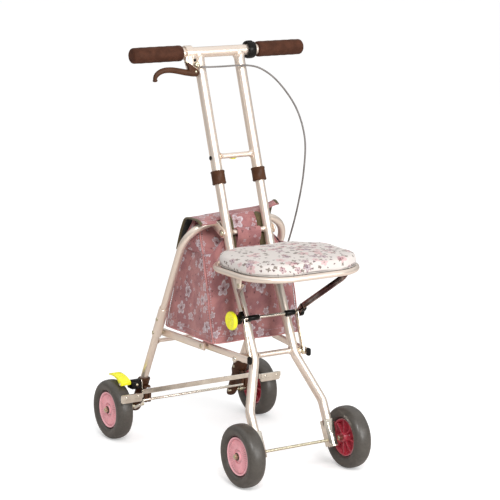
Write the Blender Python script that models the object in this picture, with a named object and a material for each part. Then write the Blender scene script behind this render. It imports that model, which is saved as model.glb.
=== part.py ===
"""Folding shopping walker: a four-wheeled walking aid with a seat and a carry bag.

Units are metres and +Z is up.  X runs across the walker, the seat looks along -Y
and the person walks behind it at +Y.  The origin is on the floor below the middle
of the walker.  Every length is first laid out from the front axle (y = 0 there)
and the whole walker hangs on one empty that moves it to the origin.
"""
import bpy
import bmesh
import math
from mathutils import Matrix, Vector

# Clearances
GAP = 0.0003
PLAY = 0.0010

# Place of the front axle in the finished frame
FRONT_AXLE_Y = -0.2099

# Wheels
WHEEL_R = 0.0635
TYRE_W = 0.037
HUB_R = 0.0384
HUB_OUT = 0.0134
HUB_IN = 0.0117
WHEEL_STEPS = 24
FRONT_WHEEL_X = 0.125
REAR_WHEEL_X = 0.1804
REAR_AXLE_Y = 0.4353
AXLE_R = 0.003
NUT_R = 0.0070
NUT_T = 0.0050

# Main frame tubes
MAIN_R = 0.0095
MAIN_X = 0.048
FOOT_X = 0.0863
BEND = (0.157, 0.3918)
UPPER_SLOPE = 0.325
LOWER_SLOPE = 0.473
MAIN_TOP_Z = 0.660
SPLAY_TOP_Z = 0.229
SPLAY_END_Z = 0.137
FOOT_Z = 0.050
BRACKET_TOP_Z = 0.100
BRACKET_LOW_Z = 0.052
SHEET = 0.002

# Pivot of the rear frame
PIVOT = (0.183, 0.471)
PIVOT_BAR_R = 0.005
BOLT_R = 0.0035
HEAD_R = 0.0065
HEAD_T = 0.0035
HOOK_T = 0.003
HOOK_W = 0.018
LOWER_BAR = (0.085, 0.236)
LOWER_BAR_R = 0.0058

# Rear frame
REAR_R = 0.008
REAR_X = 0.1205
REAR_TOP = (0.218, 0.488)
REAR_SLOPE = 0.526
REAR_CORNER = 0.062
REAR_FOOT_Z = 0.062
REAR_BAR = (0.3589, 0.220)
REAR_BAR_R = 0.0045
SLEEVE_R = 0.0103
SLEEVE_LOW_Z = 0.235
SLEEVE_TOP_Z = 0.299

# Side braces
BRACE_FRONT = (0.066, 0.234)
EAR_PIN = (0.108, 0.228)
LINK_PIN = (0.074, 0.234)
BRACE_MID = (0.210, 0.237)
BRACE_REAR = (0.349, 0.240)
BRACE_FRONT_X = 0.070
BRACE_MID_X = 0.084
BRACE_STEP_X = 0.0090
BRACE_LAP = 0.0085
BRACE_REAR_X = 0.1058
BRACE_T = 0.007
BRACE_FRONT_H = 0.015
BRACE_REAR_H = 0.017
EAR_T = 0.003

# Seat
HINGE = (0.150, 0.421)
RING_R = 0.006
RING_X = 0.132
RING_FRONT = -0.073
RING_CORNER = 0.075
EYE_R = 0.0095
BASE_T = 0.003
CUSHION_TOP = 0.446
LUG_PIN = (0.007, 0.403)
LUG_X = 0.1295
LUG_T = 0.003
STRUT_TOP_X = 0.1235

# Release linkage under the seat
TOGGLE = (0.0985, 0.311)
TOGGLE_R = 0.003
LINK_X = 0.064
STRUT_LOW_X = 0.0685
FLAT_T = 0.003
FLAT_W = 0.013
KNUCKLE_R = 0.0085
KNUCKLE_T = 0.007
KNOB_R = 0.019
KNOB_T = 0.008
KNOB_X = 0.087

# Handle
HANDLE_R = 0.011
HANDLE_LOW_Z = 0.567
BORE_TOP_Z = 0.740
COLLAR_R = 0.0145
COLLAR_LOW_Z = 0.566
COLLAR_TOP_Z = 0.592
CROSS_Z = 0.620
CROSS_R = 0.0055
BUTTON_DEEP = 0.0115
BAR = (0.298, 0.826)
BAR_R = 0.011
BAR_END = 0.198
GRIP_R = 0.0162
GRIP_END = 0.202
GRIP_LEFT_IN = 0.087
GRIP_RIGHT_IN = 0.092
CANE_RING_R = 0.0185
CANE_RING_X = (0.062, 0.0905)
CLAMP_X = (-0.080, -0.064)
CLAMP_R = 0.015
LEVER_PIVOT = (-0.068, 0.275, 0.790)
LEVER_R = 0.0050

# Brakes at the rear wheels
HOUSING_R = 0.0120
HOUSING_WIDE_R = 0.0160
HOUSING_TOP_Z = 0.131
HOUSING_WIDE_TOP_Z = 0.151
HOUSING_LOW_Z = 0.049
BRAKE_BAR = (0.389, 0.105)
BRAKE_BAR_T = 0.003
BRAKE_BAR_H = 0.0105
BRAKE_PLATE_Y = 0.365
BRAKE_PLATE_X = (0.146, 0.197)
BRAKE_PLATE_H = 0.0185
BRAKE_TRAVEL = 0.0095
TIE_ROD = (0.391, 0.086)
TIE_ROD_R = 0.0028
PEDAL_X = (0.1583, 0.182)
PEDAL_PIN = (0.400, 0.125)

# Bag
BAG_LOW_Z = 0.252
BAG_RIM_Z = 0.430
BAG_HALF_LOW = 0.095
BAG_HALF_TOP = 0.104
BAG_FRONT_LOW = 0.147
BAG_FRONT_SLOPE = 0.209
BAG_REAR_LOW = 0.345
BAG_REAR_SLOPE = -0.360
BAG_WALL = 0.003
BAG_MID_Z = 0.340
BAG_CORNER = 0.022
STRAP_HALF = 0.0275
LID_HALF = 0.092
FLAP_HALF = 0.0375

# Cable
CABLE_R = 0.0019

for old in list(bpy.data.objects):
    bpy.data.objects.remove(old, do_unlink=True)

SCENE = bpy.context.scene.collection


def material(name, colour, rough, metal):
    mat = bpy.data.materials.new(name)
    mat.use_nodes = True
    shader = mat.node_tree.nodes["Principled BSDF"]
    shader.inputs["Base Color"].default_value = (*colour, 1.0)
    shader.inputs["Roughness"].default_value = rough
    shader.inputs["Metallic"].default_value = metal
    return mat


CREAM = material("champagne_paint", (0.80, 0.68, 0.52), 0.35, 0.3)
CHROME = material("chrome", (0.75, 0.75, 0.76), 0.12, 1.0)
STEEL = material("zinc_steel", (0.62, 0.62, 0.60), 0.3, 1.0)
BROWN = material("brown_plastic", (0.10, 0.045, 0.030), 0.5, 0.0)
BLACK = material("black_plastic", (0.02, 0.02, 0.02), 0.45, 0.0)
TYRE = material("grey_tyre", (0.11, 0.095, 0.08), 0.7, 0.0)
PINK = material("pink_hub", (0.80, 0.36, 0.42), 0.35, 0.0)
YELLOW = material("yellow_plastic", (0.90, 0.78, 0.05), 0.4, 0.0)
ROSE = material("rose_cloth", (0.38, 0.15, 0.15), 0.85, 0.0)
OLIVE = material("olive_tape", (0.09, 0.07, 0.03), 0.85, 0.0)
WHITE = material("print_cloth", (0.80, 0.77, 0.71), 0.8, 0.0)


def empty(name, at, parent=None):
    obj = bpy.data.objects.new(name, None)
    obj.empty_display_size = 0.03
    obj.location = at
    SCENE.objects.link(obj)
    if parent is not None:
        obj.parent = parent
        obj.location = Vector(at) - Vector(parent["pivot"])
    obj["pivot"] = list(at)
    return obj


WALKER = empty("walker", (0.0, FRONT_AXLE_Y, 0.0))
WALKER["pivot"] = [0.0, 0.0, 0.0]
REAR_FRAME = empty("axis_rear_frame", (0.0, *PIVOT), WALKER)
FRONT_BRACES = empty("axis_front_braces", (0.0, *EAR_PIN), WALKER)
REAR_BRACES = empty("axis_rear_braces", (0.0, *BRACE_REAR), REAR_FRAME)
SEAT = empty("axis_seat", (0.0, *HINGE), WALKER)
STRUTS = empty("axis_struts", (0.0, *LUG_PIN), SEAT)
LINKS = empty("axis_links", (0.0, *TOGGLE), STRUTS)
HANDLE = empty("axis_handle", (0.0, *BAR), WALKER)
LEVER = empty("axis_brake_lever", LEVER_PIVOT, HANDLE)
PRESS = empty("axis_brake_bar", (0.0, *BRAKE_BAR), REAR_FRAME)
PEDAL = empty("axis_pedal", (-PEDAL_X[0], *PEDAL_PIN), REAR_FRAME)


def finish(obj, body, mat, smooth=True):
    """Give a piece its material and hang it on its body's axis."""
    obj.data.materials.clear()
    obj.data.materials.append(mat)
    if smooth:
        obj.data.shade_smooth()
        obj.data.set_sharp_from_angle(angle=math.radians(35))
    obj.parent = body
    obj.location = -Vector(body["pivot"])
    return obj


def mesh_object(name, bm):
    bmesh.ops.recalc_face_normals(bm, faces=bm.faces)
    mesh = bpy.data.meshes.new(name)
    bm.to_mesh(mesh)
    bm.free()
    obj = bpy.data.objects.new(name, mesh)
    SCENE.objects.link(obj)
    return obj


def rounded(points, radii, steps=5, closed=False):
    """A line through the points whose corners are arcs of the given radii."""
    pts = [Vector(p) for p in points]
    out = []
    count = len(pts)
    for i, p in enumerate(pts):
        radius = radii[i]
        inner = closed or 0 < i < count - 1
        if not inner or radius <= 0:
            out.append(p)
            continue
        a = (pts[i - 1] - p).normalized()
        b = (pts[(i + 1) % count] - p).normalized()
        half = a.angle(b) / 2
        reach = radius / math.tan(half)
        centre = p + (a + b).normalized() * (radius / math.sin(half))
        start = p + a * reach - centre
        end = p + b * reach - centre
        turn = start.angle(end)
        axis = start.cross(end).normalized()
        for k in range(steps + 1):
            out.append(centre + Matrix.Rotation(turn * k / steps, 3, axis) @ start)
    return out


def tube(name, points, radius, body, mat, sides=12, closed=False):
    """A round bar along the points: a bevelled curve with filled ends, as a mesh."""
    curve = bpy.data.curves.new(name, "CURVE")
    curve.dimensions = "3D"
    curve.bevel_depth = radius
    curve.bevel_resolution = (sides - 4) // 2
    curve.use_fill_caps = not closed
    spline = curve.splines.new("POLY")
    spline.points.add(len(points) - 1)
    for point, co in zip(spline.points, points):
        point.co = (*co, 1.0)
    spline.use_cyclic_u = closed
    holder = bpy.data.objects.new(name + "_line", curve)
    SCENE.objects.link(holder)
    bpy.context.view_layer.update()
    graph = bpy.context.evaluated_depsgraph_get()
    mesh = bpy.data.meshes.new_from_object(holder.evaluated_get(graph))
    bpy.data.objects.remove(holder, do_unlink=True)
    mesh.name = name
    bm = bmesh.new()
    bm.from_mesh(mesh)
    bmesh.ops.remove_doubles(bm, verts=bm.verts, dist=0.00001)
    bmesh.ops.recalc_face_normals(bm, faces=bm.faces)
    bm.to_mesh(mesh)
    bm.free()
    obj = bpy.data.objects.new(name, mesh)
    SCENE.objects.link(obj)
    if body is not None:
        finish(obj, body, mat)
    return obj


def prism(name, outline, origin, ex, ey, depth, body, mat, smooth=True):
    """A flat outline in the plane of ex and ey, drawn out by depth to one side."""
    origin, ex, ey = Vector(origin), Vector(ex).normalized(), Vector(ey).normalized()
    bm = bmesh.new()
    ring = [bm.verts.new(origin + ex * u + ey * v) for u, v in outline]
    face = bm.faces.new(ring)
    moved = bmesh.ops.extrude_face_region(bm, geom=[face])["geom"]
    verts = [g for g in moved if isinstance(g, bmesh.types.BMVert)]
    bmesh.ops.translate(bm, verts=verts, vec=ex.cross(ey) * depth)
    obj = mesh_object(name, bm)
    if body is not None:
        finish(obj, body, mat, smooth)
    return obj


def bridge(name, rings, body, mat, closed=False, smooth=True):
    """A skin over rings of points, with a face on each end."""
    bm = bmesh.new()
    loops = [[bm.verts.new(p) for p in ring] for ring in rings]
    count = len(loops[0])
    pairs = list(zip(loops, loops[1:]))
    if closed:
        pairs.append((loops[-1], loops[0]))
    for low, high in pairs:
        for i in range(count):
            j = (i + 1) % count
            bm.faces.new((low[i], low[j], high[j], high[i]))
    if not closed:
        bm.faces.new(loops[0])
        bm.faces.new(loops[-1])
    obj = mesh_object(name, bm)
    if body is not None:
        finish(obj, body, mat, smooth)
    return obj


def turned(name, profile, at, body, mat, steps=WHEEL_STEPS, side=1):
    """A profile of (radius, offset) pairs spun round an axle along X."""
    rings = []
    for k in range(steps):
        a = 2 * math.pi * k / steps
        rings.append([Vector((at[0] + side * x, at[1] + r * math.cos(a), at[2] + r * math.sin(a)))
                      for r, x in profile])
    return bridge(name, rings, body, mat, closed=True)


def pin(name, x0, x1, yz, radius, body, mat, sides=12):
    """A round pin along X."""
    return tube(name, [(x0, *yz), (x1, *yz)], radius, body, mat, sides)


def shaft(name, stations, yz, body, mat, steps=12):
    """A turned bar along X through stations of (x, radius)."""
    bm = bmesh.new()
    loops = []
    for x, r in stations:
        loops.append([bm.verts.new((x, yz[0] + r * math.cos(2 * math.pi * k / steps),
                                    yz[1] + r * math.sin(2 * math.pi * k / steps))) for k in range(steps)])
    for low, high in zip(loops, loops[1:]):
        for i in range(steps):
            j = (i + 1) % steps
            bm.faces.new((low[i], low[j], high[j], high[i]))
    bm.faces.new(loops[0])
    bm.faces.new(loops[-1])
    obj = mesh_object(name, bm)
    if body is not None:
        finish(obj, body, mat)
    return obj


def headed_pin(x0, x1, yz, radius, head_r, head_t):
    """A pin along X with a head at its x1 end, to be joined to a plate."""
    way = 1 if x1 > x0 else -1
    stations = [(x0, radius), (x1, radius), (x1, head_r), (x1 + way * head_t * 0.6, head_r),
                (x1 + way * head_t, head_r * 0.7)]
    return shaft("join", stations, yz, None, None)


def guide(obj):
    obj.hide_render = True
    obj.display_type = "WIRE"
    return obj


def cut(obj, *cutters, mode="DIFFERENCE"):
    """Boolean modifiers on the piece, applied so that its mesh is final."""
    for cutter in cutters:
        guide(cutter)
        if cutter.parent is None:
            cutter.parent = WALKER
        mod = obj.modifiers.new("cut", "BOOLEAN")
        mod.operation = mode
        mod.object = cutter
    bpy.context.view_layer.update()
    graph = bpy.context.evaluated_depsgraph_get()
    mesh = bpy.data.meshes.new_from_object(obj.evaluated_get(graph))
    obj.modifiers.clear()
    obj.data = mesh
    bm = bmesh.new()
    bm.from_mesh(mesh)
    bmesh.ops.remove_doubles(bm, verts=bm.verts, dist=0.000002)
    bmesh.ops.dissolve_degenerate(bm, dist=0.000002, edges=bm.edges)
    bm.to_mesh(mesh)
    bm.free()
    mesh.shade_smooth()
    mesh.set_sharp_from_angle(angle=math.radians(35))
    return obj


def drop(*objs):
    for obj in objs:
        bpy.data.objects.remove(obj, do_unlink=True)


def join(obj, *others):
    """Unite other solids with the piece and remove them."""
    cut(obj, *others, mode="UNION")
    drop(*others)
    return obj


def bore(points, radius, sides=12):
    """A cutter along a line, larger than its bar by the gap."""
    return guide(tube("cutter", points, radius + GAP, None, None, sides))


def x_bore(yz, radius, x0, x1, sides=12):
    return bore([(x0, *yz), (x1, *yz)], radius, sides)


def stadium(length, width, steps=6):
    """Outline of a bar with round ends, from one end centre to the other."""
    half = width / 2
    pts = []
    for k in range(steps + 1):
        a = math.pi / 2 + math.pi * k / steps
        pts.append((half * math.cos(a), half * math.sin(a)))
    for k in range(steps + 1):
        a = -math.pi / 2 + math.pi * k / steps
        pts.append((length + half * math.cos(a), half * math.sin(a)))
    return pts


def flat_link(name, a, b, x0, x1, width, body, mat, holes=()):
    """A flat bar with round ends between two points (y, z), lying in x0 to x1."""
    start, end = Vector((0, *a)), Vector((0, *b))
    along = end - start
    length = along.length
    along.normalize()
    up = Vector((1, 0, 0)).cross(along)
    obj = prism(name, stadium(length, width), start + Vector((min(x0, x1), 0, 0)),
                along, up, abs(x1 - x0), body, mat)
    for yz, r in holes:
        c = x_bore(yz, r, min(x0, x1) - 0.01, max(x0, x1) + 0.01)
        cut(obj, c)
        drop(c)
    return obj


def upper_y(z):
    """Where the upper stretch of the main tubes lies at a height."""
    return BEND[0] + UPPER_SLOPE * (z - BEND[1])


def lower_y(z):
    """Where the lower stretch of the main tubes lies at a height."""
    return BEND[0] - LOWER_SLOPE * (BEND[1] - z)


def leg_y(z):
    """Where the rear legs lie at a height."""
    return REAR_TOP[0] + REAR_SLOPE * (REAR_TOP[1] - z)


UP = Vector((0.0, UPPER_SLOPE, 1.0)).normalized()
DOWN = Vector((0.0, -LOWER_SLOPE, -1.0)).normalized()
FRONT = Vector((0.0, -1.0, LOWER_SLOPE)).normalized()
LEG = Vector((0.0, -REAR_SLOPE, 1.0)).normalized()
SIDES = (("left", -1), ("right", 1))


def main_line(s):
    pts = [(s * MAIN_X, upper_y(MAIN_TOP_Z), MAIN_TOP_Z),
           (s * MAIN_X, *BEND),
           (s * MAIN_X, lower_y(SPLAY_TOP_Z), SPLAY_TOP_Z),
           (s * FOOT_X, lower_y(SPLAY_END_Z), SPLAY_END_Z),
           (s * FOOT_X, lower_y(FOOT_Z), FOOT_Z)]
    return rounded(pts, [0, 0.070, 0.040, 0.040, 0], steps=4)


def rear_line(longer=0.0):
    low = REAR_FOOT_Z - longer
    pts = [(-REAR_X, leg_y(low), low),
           (-REAR_X, *REAR_TOP),
           (REAR_X, *REAR_TOP),
           (REAR_X, leg_y(low), low)]
    return rounded(pts, [0, REAR_CORNER, REAR_CORNER, 0], steps=6)


def sleeve(name, a, b, r_in, r_out, body, mat, steps=16, ease=0.0006):
    """A round sleeve from a to b with eased outer rims."""
    a, b = Vector(a), Vector(b)
    axis = (b - a).normalized()
    side = axis.orthogonal().normalized()
    other = axis.cross(side)
    length = (b - a).length
    profile = [(r_in, 0.0), (r_out - ease, 0.0), (r_out, ease), (r_out, length - ease),
               (r_out - ease, length), (r_in, length)]
    rings = []
    for k in range(steps):
        t = 2 * math.pi * k / steps
        out = side * math.cos(t) + other * math.sin(t)
        rings.append([a + out * r + axis * h for r, h in profile])
    return bridge(name, rings, body, mat, closed=True)


def outline_ring(half_x, front, rear, corner, steps=5):
    """A rounded rectangle in plan, as (x, y) pairs."""
    pts = [(-half_x, front, 0), (half_x, front, 0), (half_x, rear, 0), (-half_x, rear, 0)]
    return [(p.x, p.y) for p in rounded(pts, [corner] * 4, steps, closed=True)]


def main_frame():
    """The two front tubes, their crossbars, the front brackets, axle and ears."""
    foot_bore = x_bore((0.0, WHEEL_R), AXLE_R, -0.11, 0.11)
    bolt_bore = x_bore(PIVOT, BOLT_R, -0.08, 0.08)
    for side, s in SIDES:
        main = tube("main_tube_" + side, main_line(s), MAIN_R, WALKER, CREAM)
        cut(main, foot_bore, bolt_bore)
        shell = MAIN_R + GAP
        wide = shell + SHEET
        top = Vector((s * FOOT_X, lower_y(BRACKET_TOP_Z), BRACKET_TOP_Z))
        tall = (BRACKET_TOP_Z - BRACKET_LOW_Z) / -DOWN.z
        channel = [(-wide, -0.010), (-shell, -0.010), (-shell, shell), (shell, shell),
                   (shell, -0.010), (wide, -0.010), (wide, wide), (-wide, wide)]
        bracket = prism("front_bracket_" + side, channel, top, (1, 0, 0), FRONT, tall, WALKER, CHROME)
        cut(bracket, foot_bore)
        x0 = s * (MAIN_X + MAIN_R + GAP)
        x1 = x0 + s * EAR_T
        ear = flat_link("brace_ear_" + side, (0.082, 0.2335), EAR_PIN, x0, x1, 0.018, WALKER, CHROME)
        brace_x = BRACE_FRONT_X + (BRACE_MID_X - BRACE_FRONT_X) * (EAR_PIN[0] - BRACE_FRONT[0]) / (
            BRACE_MID[0] - BRACE_FRONT[0])
        clear = bore(main_line(s), MAIN_R)
        cut(ear, clear)
        drop(clear)
        join(ear, headed_pin(x0 + s * 0.001, s * (brace_x + BRACE_T / 2 + PLAY), EAR_PIN, BOLT_R, HEAD_R, HEAD_T))
        clip(side, s)
        saddle(side, s)
    drop(foot_bore, bolt_bore)
    nut = FRONT_WHEEL_X + HUB_OUT + GAP
    half = [(nut, AXLE_R), (nut, NUT_R), (nut + NUT_T, NUT_R), (nut + NUT_T, AXLE_R), (nut + NUT_T + 0.002, AXLE_R)]
    shaft("front_axle", [(-x, r) for x, r in reversed(half)] + half, (0.0, WHEEL_R), WALKER, STEEL)
    inner = MAIN_X - MAIN_R - GAP
    head = MAIN_X + MAIN_R + GAP * 3 + HOOK_T
    half = [(inner - 0.001, PIVOT_BAR_R), (inner - 0.001, BOLT_R), (head, BOLT_R), (head, HEAD_R),
            (head + HEAD_T * 0.6, HEAD_R), (head + HEAD_T, HEAD_R * 0.7)]
    shaft("pivot_shaft", [(-x, r) for x, r in reversed(half)] + half, PIVOT, WALKER, CREAM)
    pin("lower_crossbar", -inner, inner, LOWER_BAR, LOWER_BAR_R, WALKER, CREAM)


def clip(side, s):
    """A black rest on each front tube that carries the toggle rod from below."""
    shell = MAIN_R + GAP
    gap_to_rod = (Vector((0, *TOGGLE)) - Vector((0, lower_y(TOGGLE[1]), TOGGLE[1]))).dot(FRONT)
    seat_r = TOGGLE_R + GAP
    outline = [(-0.008, shell - 0.006), (0.008, shell - 0.006), (0.008, gap_to_rod + 0.0055),
               (0.001, gap_to_rod + 0.0055), (0.001, gap_to_rod - seat_r - 0.0012),
               (-0.008, gap_to_rod - seat_r - 0.0012)]
    foot = Vector((0, *TOGGLE)) - FRONT * gap_to_rod
    half = 0.007
    origin = foot + Vector((s * MAIN_X + half, 0, 0))
    block = prism("rod_clip_" + side, outline, origin, DOWN, FRONT, 2 * half, WALKER, BLACK)
    rod = x_bore(TOGGLE, TOGGLE_R, s * MAIN_X - 0.02, s * MAIN_X + 0.02)
    main = bore(main_line(s), MAIN_R)
    cut(block, main, rod)
    drop(rod, main)


def saddle(side, s):
    """An eye on each front tube in which the rear of the seat ring turns."""
    y, z = HINGE
    outline = [(y - EYE_R, z - 0.006), (y - 0.006, z - EYE_R), (y + 0.014, z - 0.0105),
               (y + 0.018, z + 0.0105), (y - 0.006, z + EYE_R), (y - EYE_R, z + 0.006)]
    half = 0.008
    block = prism("seat_saddle_" + side, outline, (s * MAIN_X - half, 0, 0), (0, 1, 0), (0, 0, 1),
                  2 * half, WALKER, BLACK)
    ring = x_bore(HINGE, RING_R, s * MAIN_X - 0.02, s * MAIN_X + 0.02)
    main = bore(main_line(s), MAIN_R)
    cut(block, main, ring)
    drop(ring, main)


def wheels():
    """Four soft-tyred wheels, each on its own axis, with nuts outside."""
    spots = (("front_left", -1, FRONT_WHEEL_X, 0.0, WALKER), ("front_right", 1, FRONT_WHEEL_X, 0.0, WALKER),
             ("rear_left", -1, REAR_WHEEL_X, REAR_AXLE_Y, REAR_FRAME),
             ("rear_right", 1, REAR_WHEEL_X, REAR_AXLE_Y, REAR_FRAME))
    for name, s, x, y, body in spots:
        at = Vector((s * x, y, WHEEL_R))
        axis = empty("axis_wheel_" + name, at, body)
        half_d = (WHEEL_R - HUB_R - GAP) / 2
        mid = HUB_R + GAP + half_d
        tyre = []
        for k in range(10):
            a = 2 * math.pi * (k + 0.5) / 10
            c, q = math.cos(a), math.sin(a)
            power = 2 / 2.5
            tyre.append((mid + half_d * math.copysign(abs(c) ** power, c),
                         TYRE_W / 2 * math.copysign(abs(q) ** power, q)))
        outmost = max(r for r, w in tyre)
        inmost = min(r for r, w in tyre)
        fit = [(HUB_R + GAP + (r - inmost) * (WHEEL_R - HUB_R - GAP) / (outmost - inmost), w) for r, w in tyre]
        turned("tyre_" + name, fit, at, axis, TYRE, side=s)
        hole = AXLE_R + GAP
        hub = [(hole, -HUB_IN - 0.003), (0.009, -HUB_IN - 0.003), (0.010, -0.003), (0.033, -0.003),
               (0.0345, -HUB_IN), (HUB_R, -HUB_IN), (HUB_R, HUB_OUT), (0.0362, HUB_OUT),
               (0.0340, HUB_OUT - 0.003), (0.0125, HUB_OUT - 0.0045), (0.0095, HUB_OUT), (hole, HUB_OUT)]
        turned("hub_" + name, hub, at, axis, PINK, side=s)


def braces():
    """Side braces that fold in the middle, with their caps and rivets."""
    for side, s in SIDES:
        def brace(name, a, b, xa, xb, high, body, holes):
            start, end = Vector((s * xa, *a)), Vector((s * xb, *b))
            rings = []
            flat = high / 2 - BRACE_T / 2
            for p in (start, end):
                ring = []
                for k in range(14):
                    t = 2 * math.pi * (k + 0.5) / 14
                    z = BRACE_T / 2 * math.sin(t)
                    ring.append(p + Vector((BRACE_T / 2 * math.cos(t), 0, z + math.copysign(flat, z))))
                rings.append(ring)
            obj = bridge(name, rings, body, CREAM)
            for yz, r in holes:
                c = x_bore(yz, r, s * 0.05, s * 0.13)
                cut(obj, c)
                drop(c)
            return obj
        run = BRACE_MID[0] - BRACE_FRONT[0]
        over = BRACE_LAP
        slope_x = (BRACE_MID_X - BRACE_FRONT_X) / run
        slope_z = (BRACE_MID[1] - BRACE_FRONT[1]) / run
        front_end = (BRACE_MID[0] + over, BRACE_MID[1] + slope_z * over)
        brace("front_brace_" + side, BRACE_FRONT, front_end, BRACE_FRONT_X, BRACE_MID_X + slope_x * over,
              BRACE_FRONT_H, FRONT_BRACES, [(EAR_PIN, BOLT_R)])
        back = BRACE_REAR[0] - BRACE_MID[0]
        mid_x = BRACE_MID_X + BRACE_STEP_X
        rear_dx = (BRACE_REAR_X - mid_x) / back
        rear_dz = (BRACE_REAR[1] - BRACE_MID[1]) / back
        a = (BRACE_MID[0] - over, BRACE_MID[1] - rear_dz * over)
        b = (BRACE_REAR[0] + over, BRACE_REAR[1] + rear_dz * over)
        brace("rear_brace_" + side, a, b, mid_x - rear_dx * over, BRACE_REAR_X + rear_dx * over,
              BRACE_REAR_H, REAR_BRACES, [(BRACE_REAR, BOLT_R)])
        y0 = BRACE_FRONT[0] - GAP
        rings = []
        for y, grow in ((y0, 0.0008), (y0 - 0.003, 0.0008), (y0 - 0.006, -0.001)):
            ring = []
            flat = BRACE_FRONT_H / 2 - BRACE_T / 2
            for k in range(14):
                t = 2 * math.pi * (k + 0.5) / 14
                z = (BRACE_T / 2 + grow) * math.sin(t)
                ring.append(Vector((s * BRACE_FRONT_X + (BRACE_T / 2 + grow) * math.cos(t), y,
                                    BRACE_FRONT[1] + z + math.copysign(flat, z))))
            rings.append(ring)
        bridge("brace_cap_" + side, rings, FRONT_BRACES, BLACK)


def rear_frame():
    """The inverted U, its crossbar, hooks, sleeves, brake housings and axles."""
    axle_bore = x_bore((REAR_AXLE_Y, WHEEL_R), AXLE_R, -0.15, 0.15)
    pivot_bore = x_bore(PIVOT, BOLT_R, -0.08, 0.08)
    frame = tube("rear_tube", rear_line(), REAR_R, REAR_FRAME, CREAM)
    whole = bore(rear_line(GAP), REAR_R)
    join(frame, shaft("join", [(-REAR_X, REAR_BAR_R), (REAR_X, REAR_BAR_R)], REAR_BAR, None, None, 12))
    for side, s in SIDES:
        x0 = MAIN_X + MAIN_R + 2 * GAP
        hook = flat_link("join", PIVOT, REAR_TOP, s * x0, s * (x0 + HOOK_T), HOOK_W, None, None, [])
        join(frame, hook)
    cut(frame, axle_bore, pivot_bore)
    for side, s in SIDES:
        low = Vector((s * REAR_X, leg_y(SLEEVE_LOW_Z), SLEEVE_LOW_Z))
        top = Vector((s * REAR_X, leg_y(SLEEVE_TOP_Z), SLEEVE_TOP_Z))
        band = sleeve("leg_sleeve_" + side, low, top, REAR_R + GAP, SLEEVE_R, REAR_FRAME, CHROME, 16)
        head = BRACE_REAR_X - BRACE_T / 2 - PLAY
        join(band, headed_pin(s * (REAR_X - SLEEVE_R + 0.001), s * head, BRACE_REAR, BOLT_R, HEAD_R, HEAD_T))
        housing(side, s, whole, axle_bore)
        nut = REAR_WHEEL_X + HUB_OUT + GAP
        stations = [(REAR_X - HOUSING_R - 0.002, AXLE_R), (nut, AXLE_R), (nut, NUT_R), (nut + NUT_T, NUT_R),
                    (nut + NUT_T, AXLE_R), (nut + NUT_T + 0.002, AXLE_R)]
        shaft("rear_axle_" + side, [(s * x, r) for x, r in stations], (REAR_AXLE_Y, WHEEL_R), REAR_FRAME, STEEL)
    drop(whole, axle_bore, pivot_bore)
    y, z = TIE_ROD
    crank = [(REAR_X - 0.004, y, z), (-REAR_X - 0.010, y, z), (-REAR_X - 0.016, y + 0.004, z - 0.010),
             (-REAR_X - 0.030, y + 0.006, z - 0.016)]
    tube("brake_tie_rod", rounded(crank, [0, 0.006, 0.006, 0]), TIE_ROD_R, REAR_FRAME, CHROME, 10)


def housing(side, s, whole, axle_bore):
    """A brown brake housing round the foot of a rear leg, forked round the brake bar."""
    top_z = HOUSING_TOP_Z if s < 0 else HOUSING_WIDE_TOP_Z
    top_r = HOUSING_R if s < 0 else HOUSING_WIDE_R
    rings = []
    for z, r in ((HOUSING_LOW_Z, 0.007), (HOUSING_LOW_Z + 0.004, 0.0100), (0.062, 0.0112),
                 (0.104, HOUSING_R), (0.112, top_r), (top_z - 0.001, top_r), (top_z, top_r - 0.001)):
        ring = []
        centre = Vector((s * REAR_X, leg_y(z), z))
        for k in range(18):
            t = 2 * math.pi * k / 18
            ring.append(centre + Vector((r * math.cos(t), r * 1.06 * math.sin(t), 0)))
        rings.append(ring)
    body = bridge("housing_" + side, rings, REAR_FRAME, BROWN)
    half = 0.0075
    y0, z0 = BRAKE_BAR
    fork = [(y0 - 0.008, TIE_ROD[1] - 0.006), (0.424, TIE_ROD[1] - 0.006), (0.424, z0 + 0.0105),
            (y0 - 0.005, z0 + 0.0105)]
    block = prism("fork_" + side, fork, (s * REAR_X - half, 0, 0), (0, 1, 0), (0, 0, 1), 2 * half, REAR_FRAME, BROWN)
    cut(body, block, mode="UNION")
    drop(block)
    slot_h = BRAKE_BAR_H / 2 + GAP
    slot = [(y0 - 0.03, z0 - slot_h), (y0 + BRAKE_BAR_T / 2 + BRAKE_TRAVEL + PLAY, z0 - slot_h),
            (y0 + BRAKE_BAR_T / 2 + BRAKE_TRAVEL + PLAY, z0 + slot_h), (y0 - 0.03, z0 + slot_h)]
    slot = guide(prism("cutter", slot, (s * REAR_X - 0.03, 0, 0), (0, 1, 0), (0, 0, 1), 0.06, None, BROWN))
    rod = x_bore(TIE_ROD, TIE_ROD_R, s * REAR_X - 0.03, s * REAR_X + 0.03, 10)
    cut(body, slot, rod, whole, axle_bore)
    drop(slot, rod)


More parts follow.
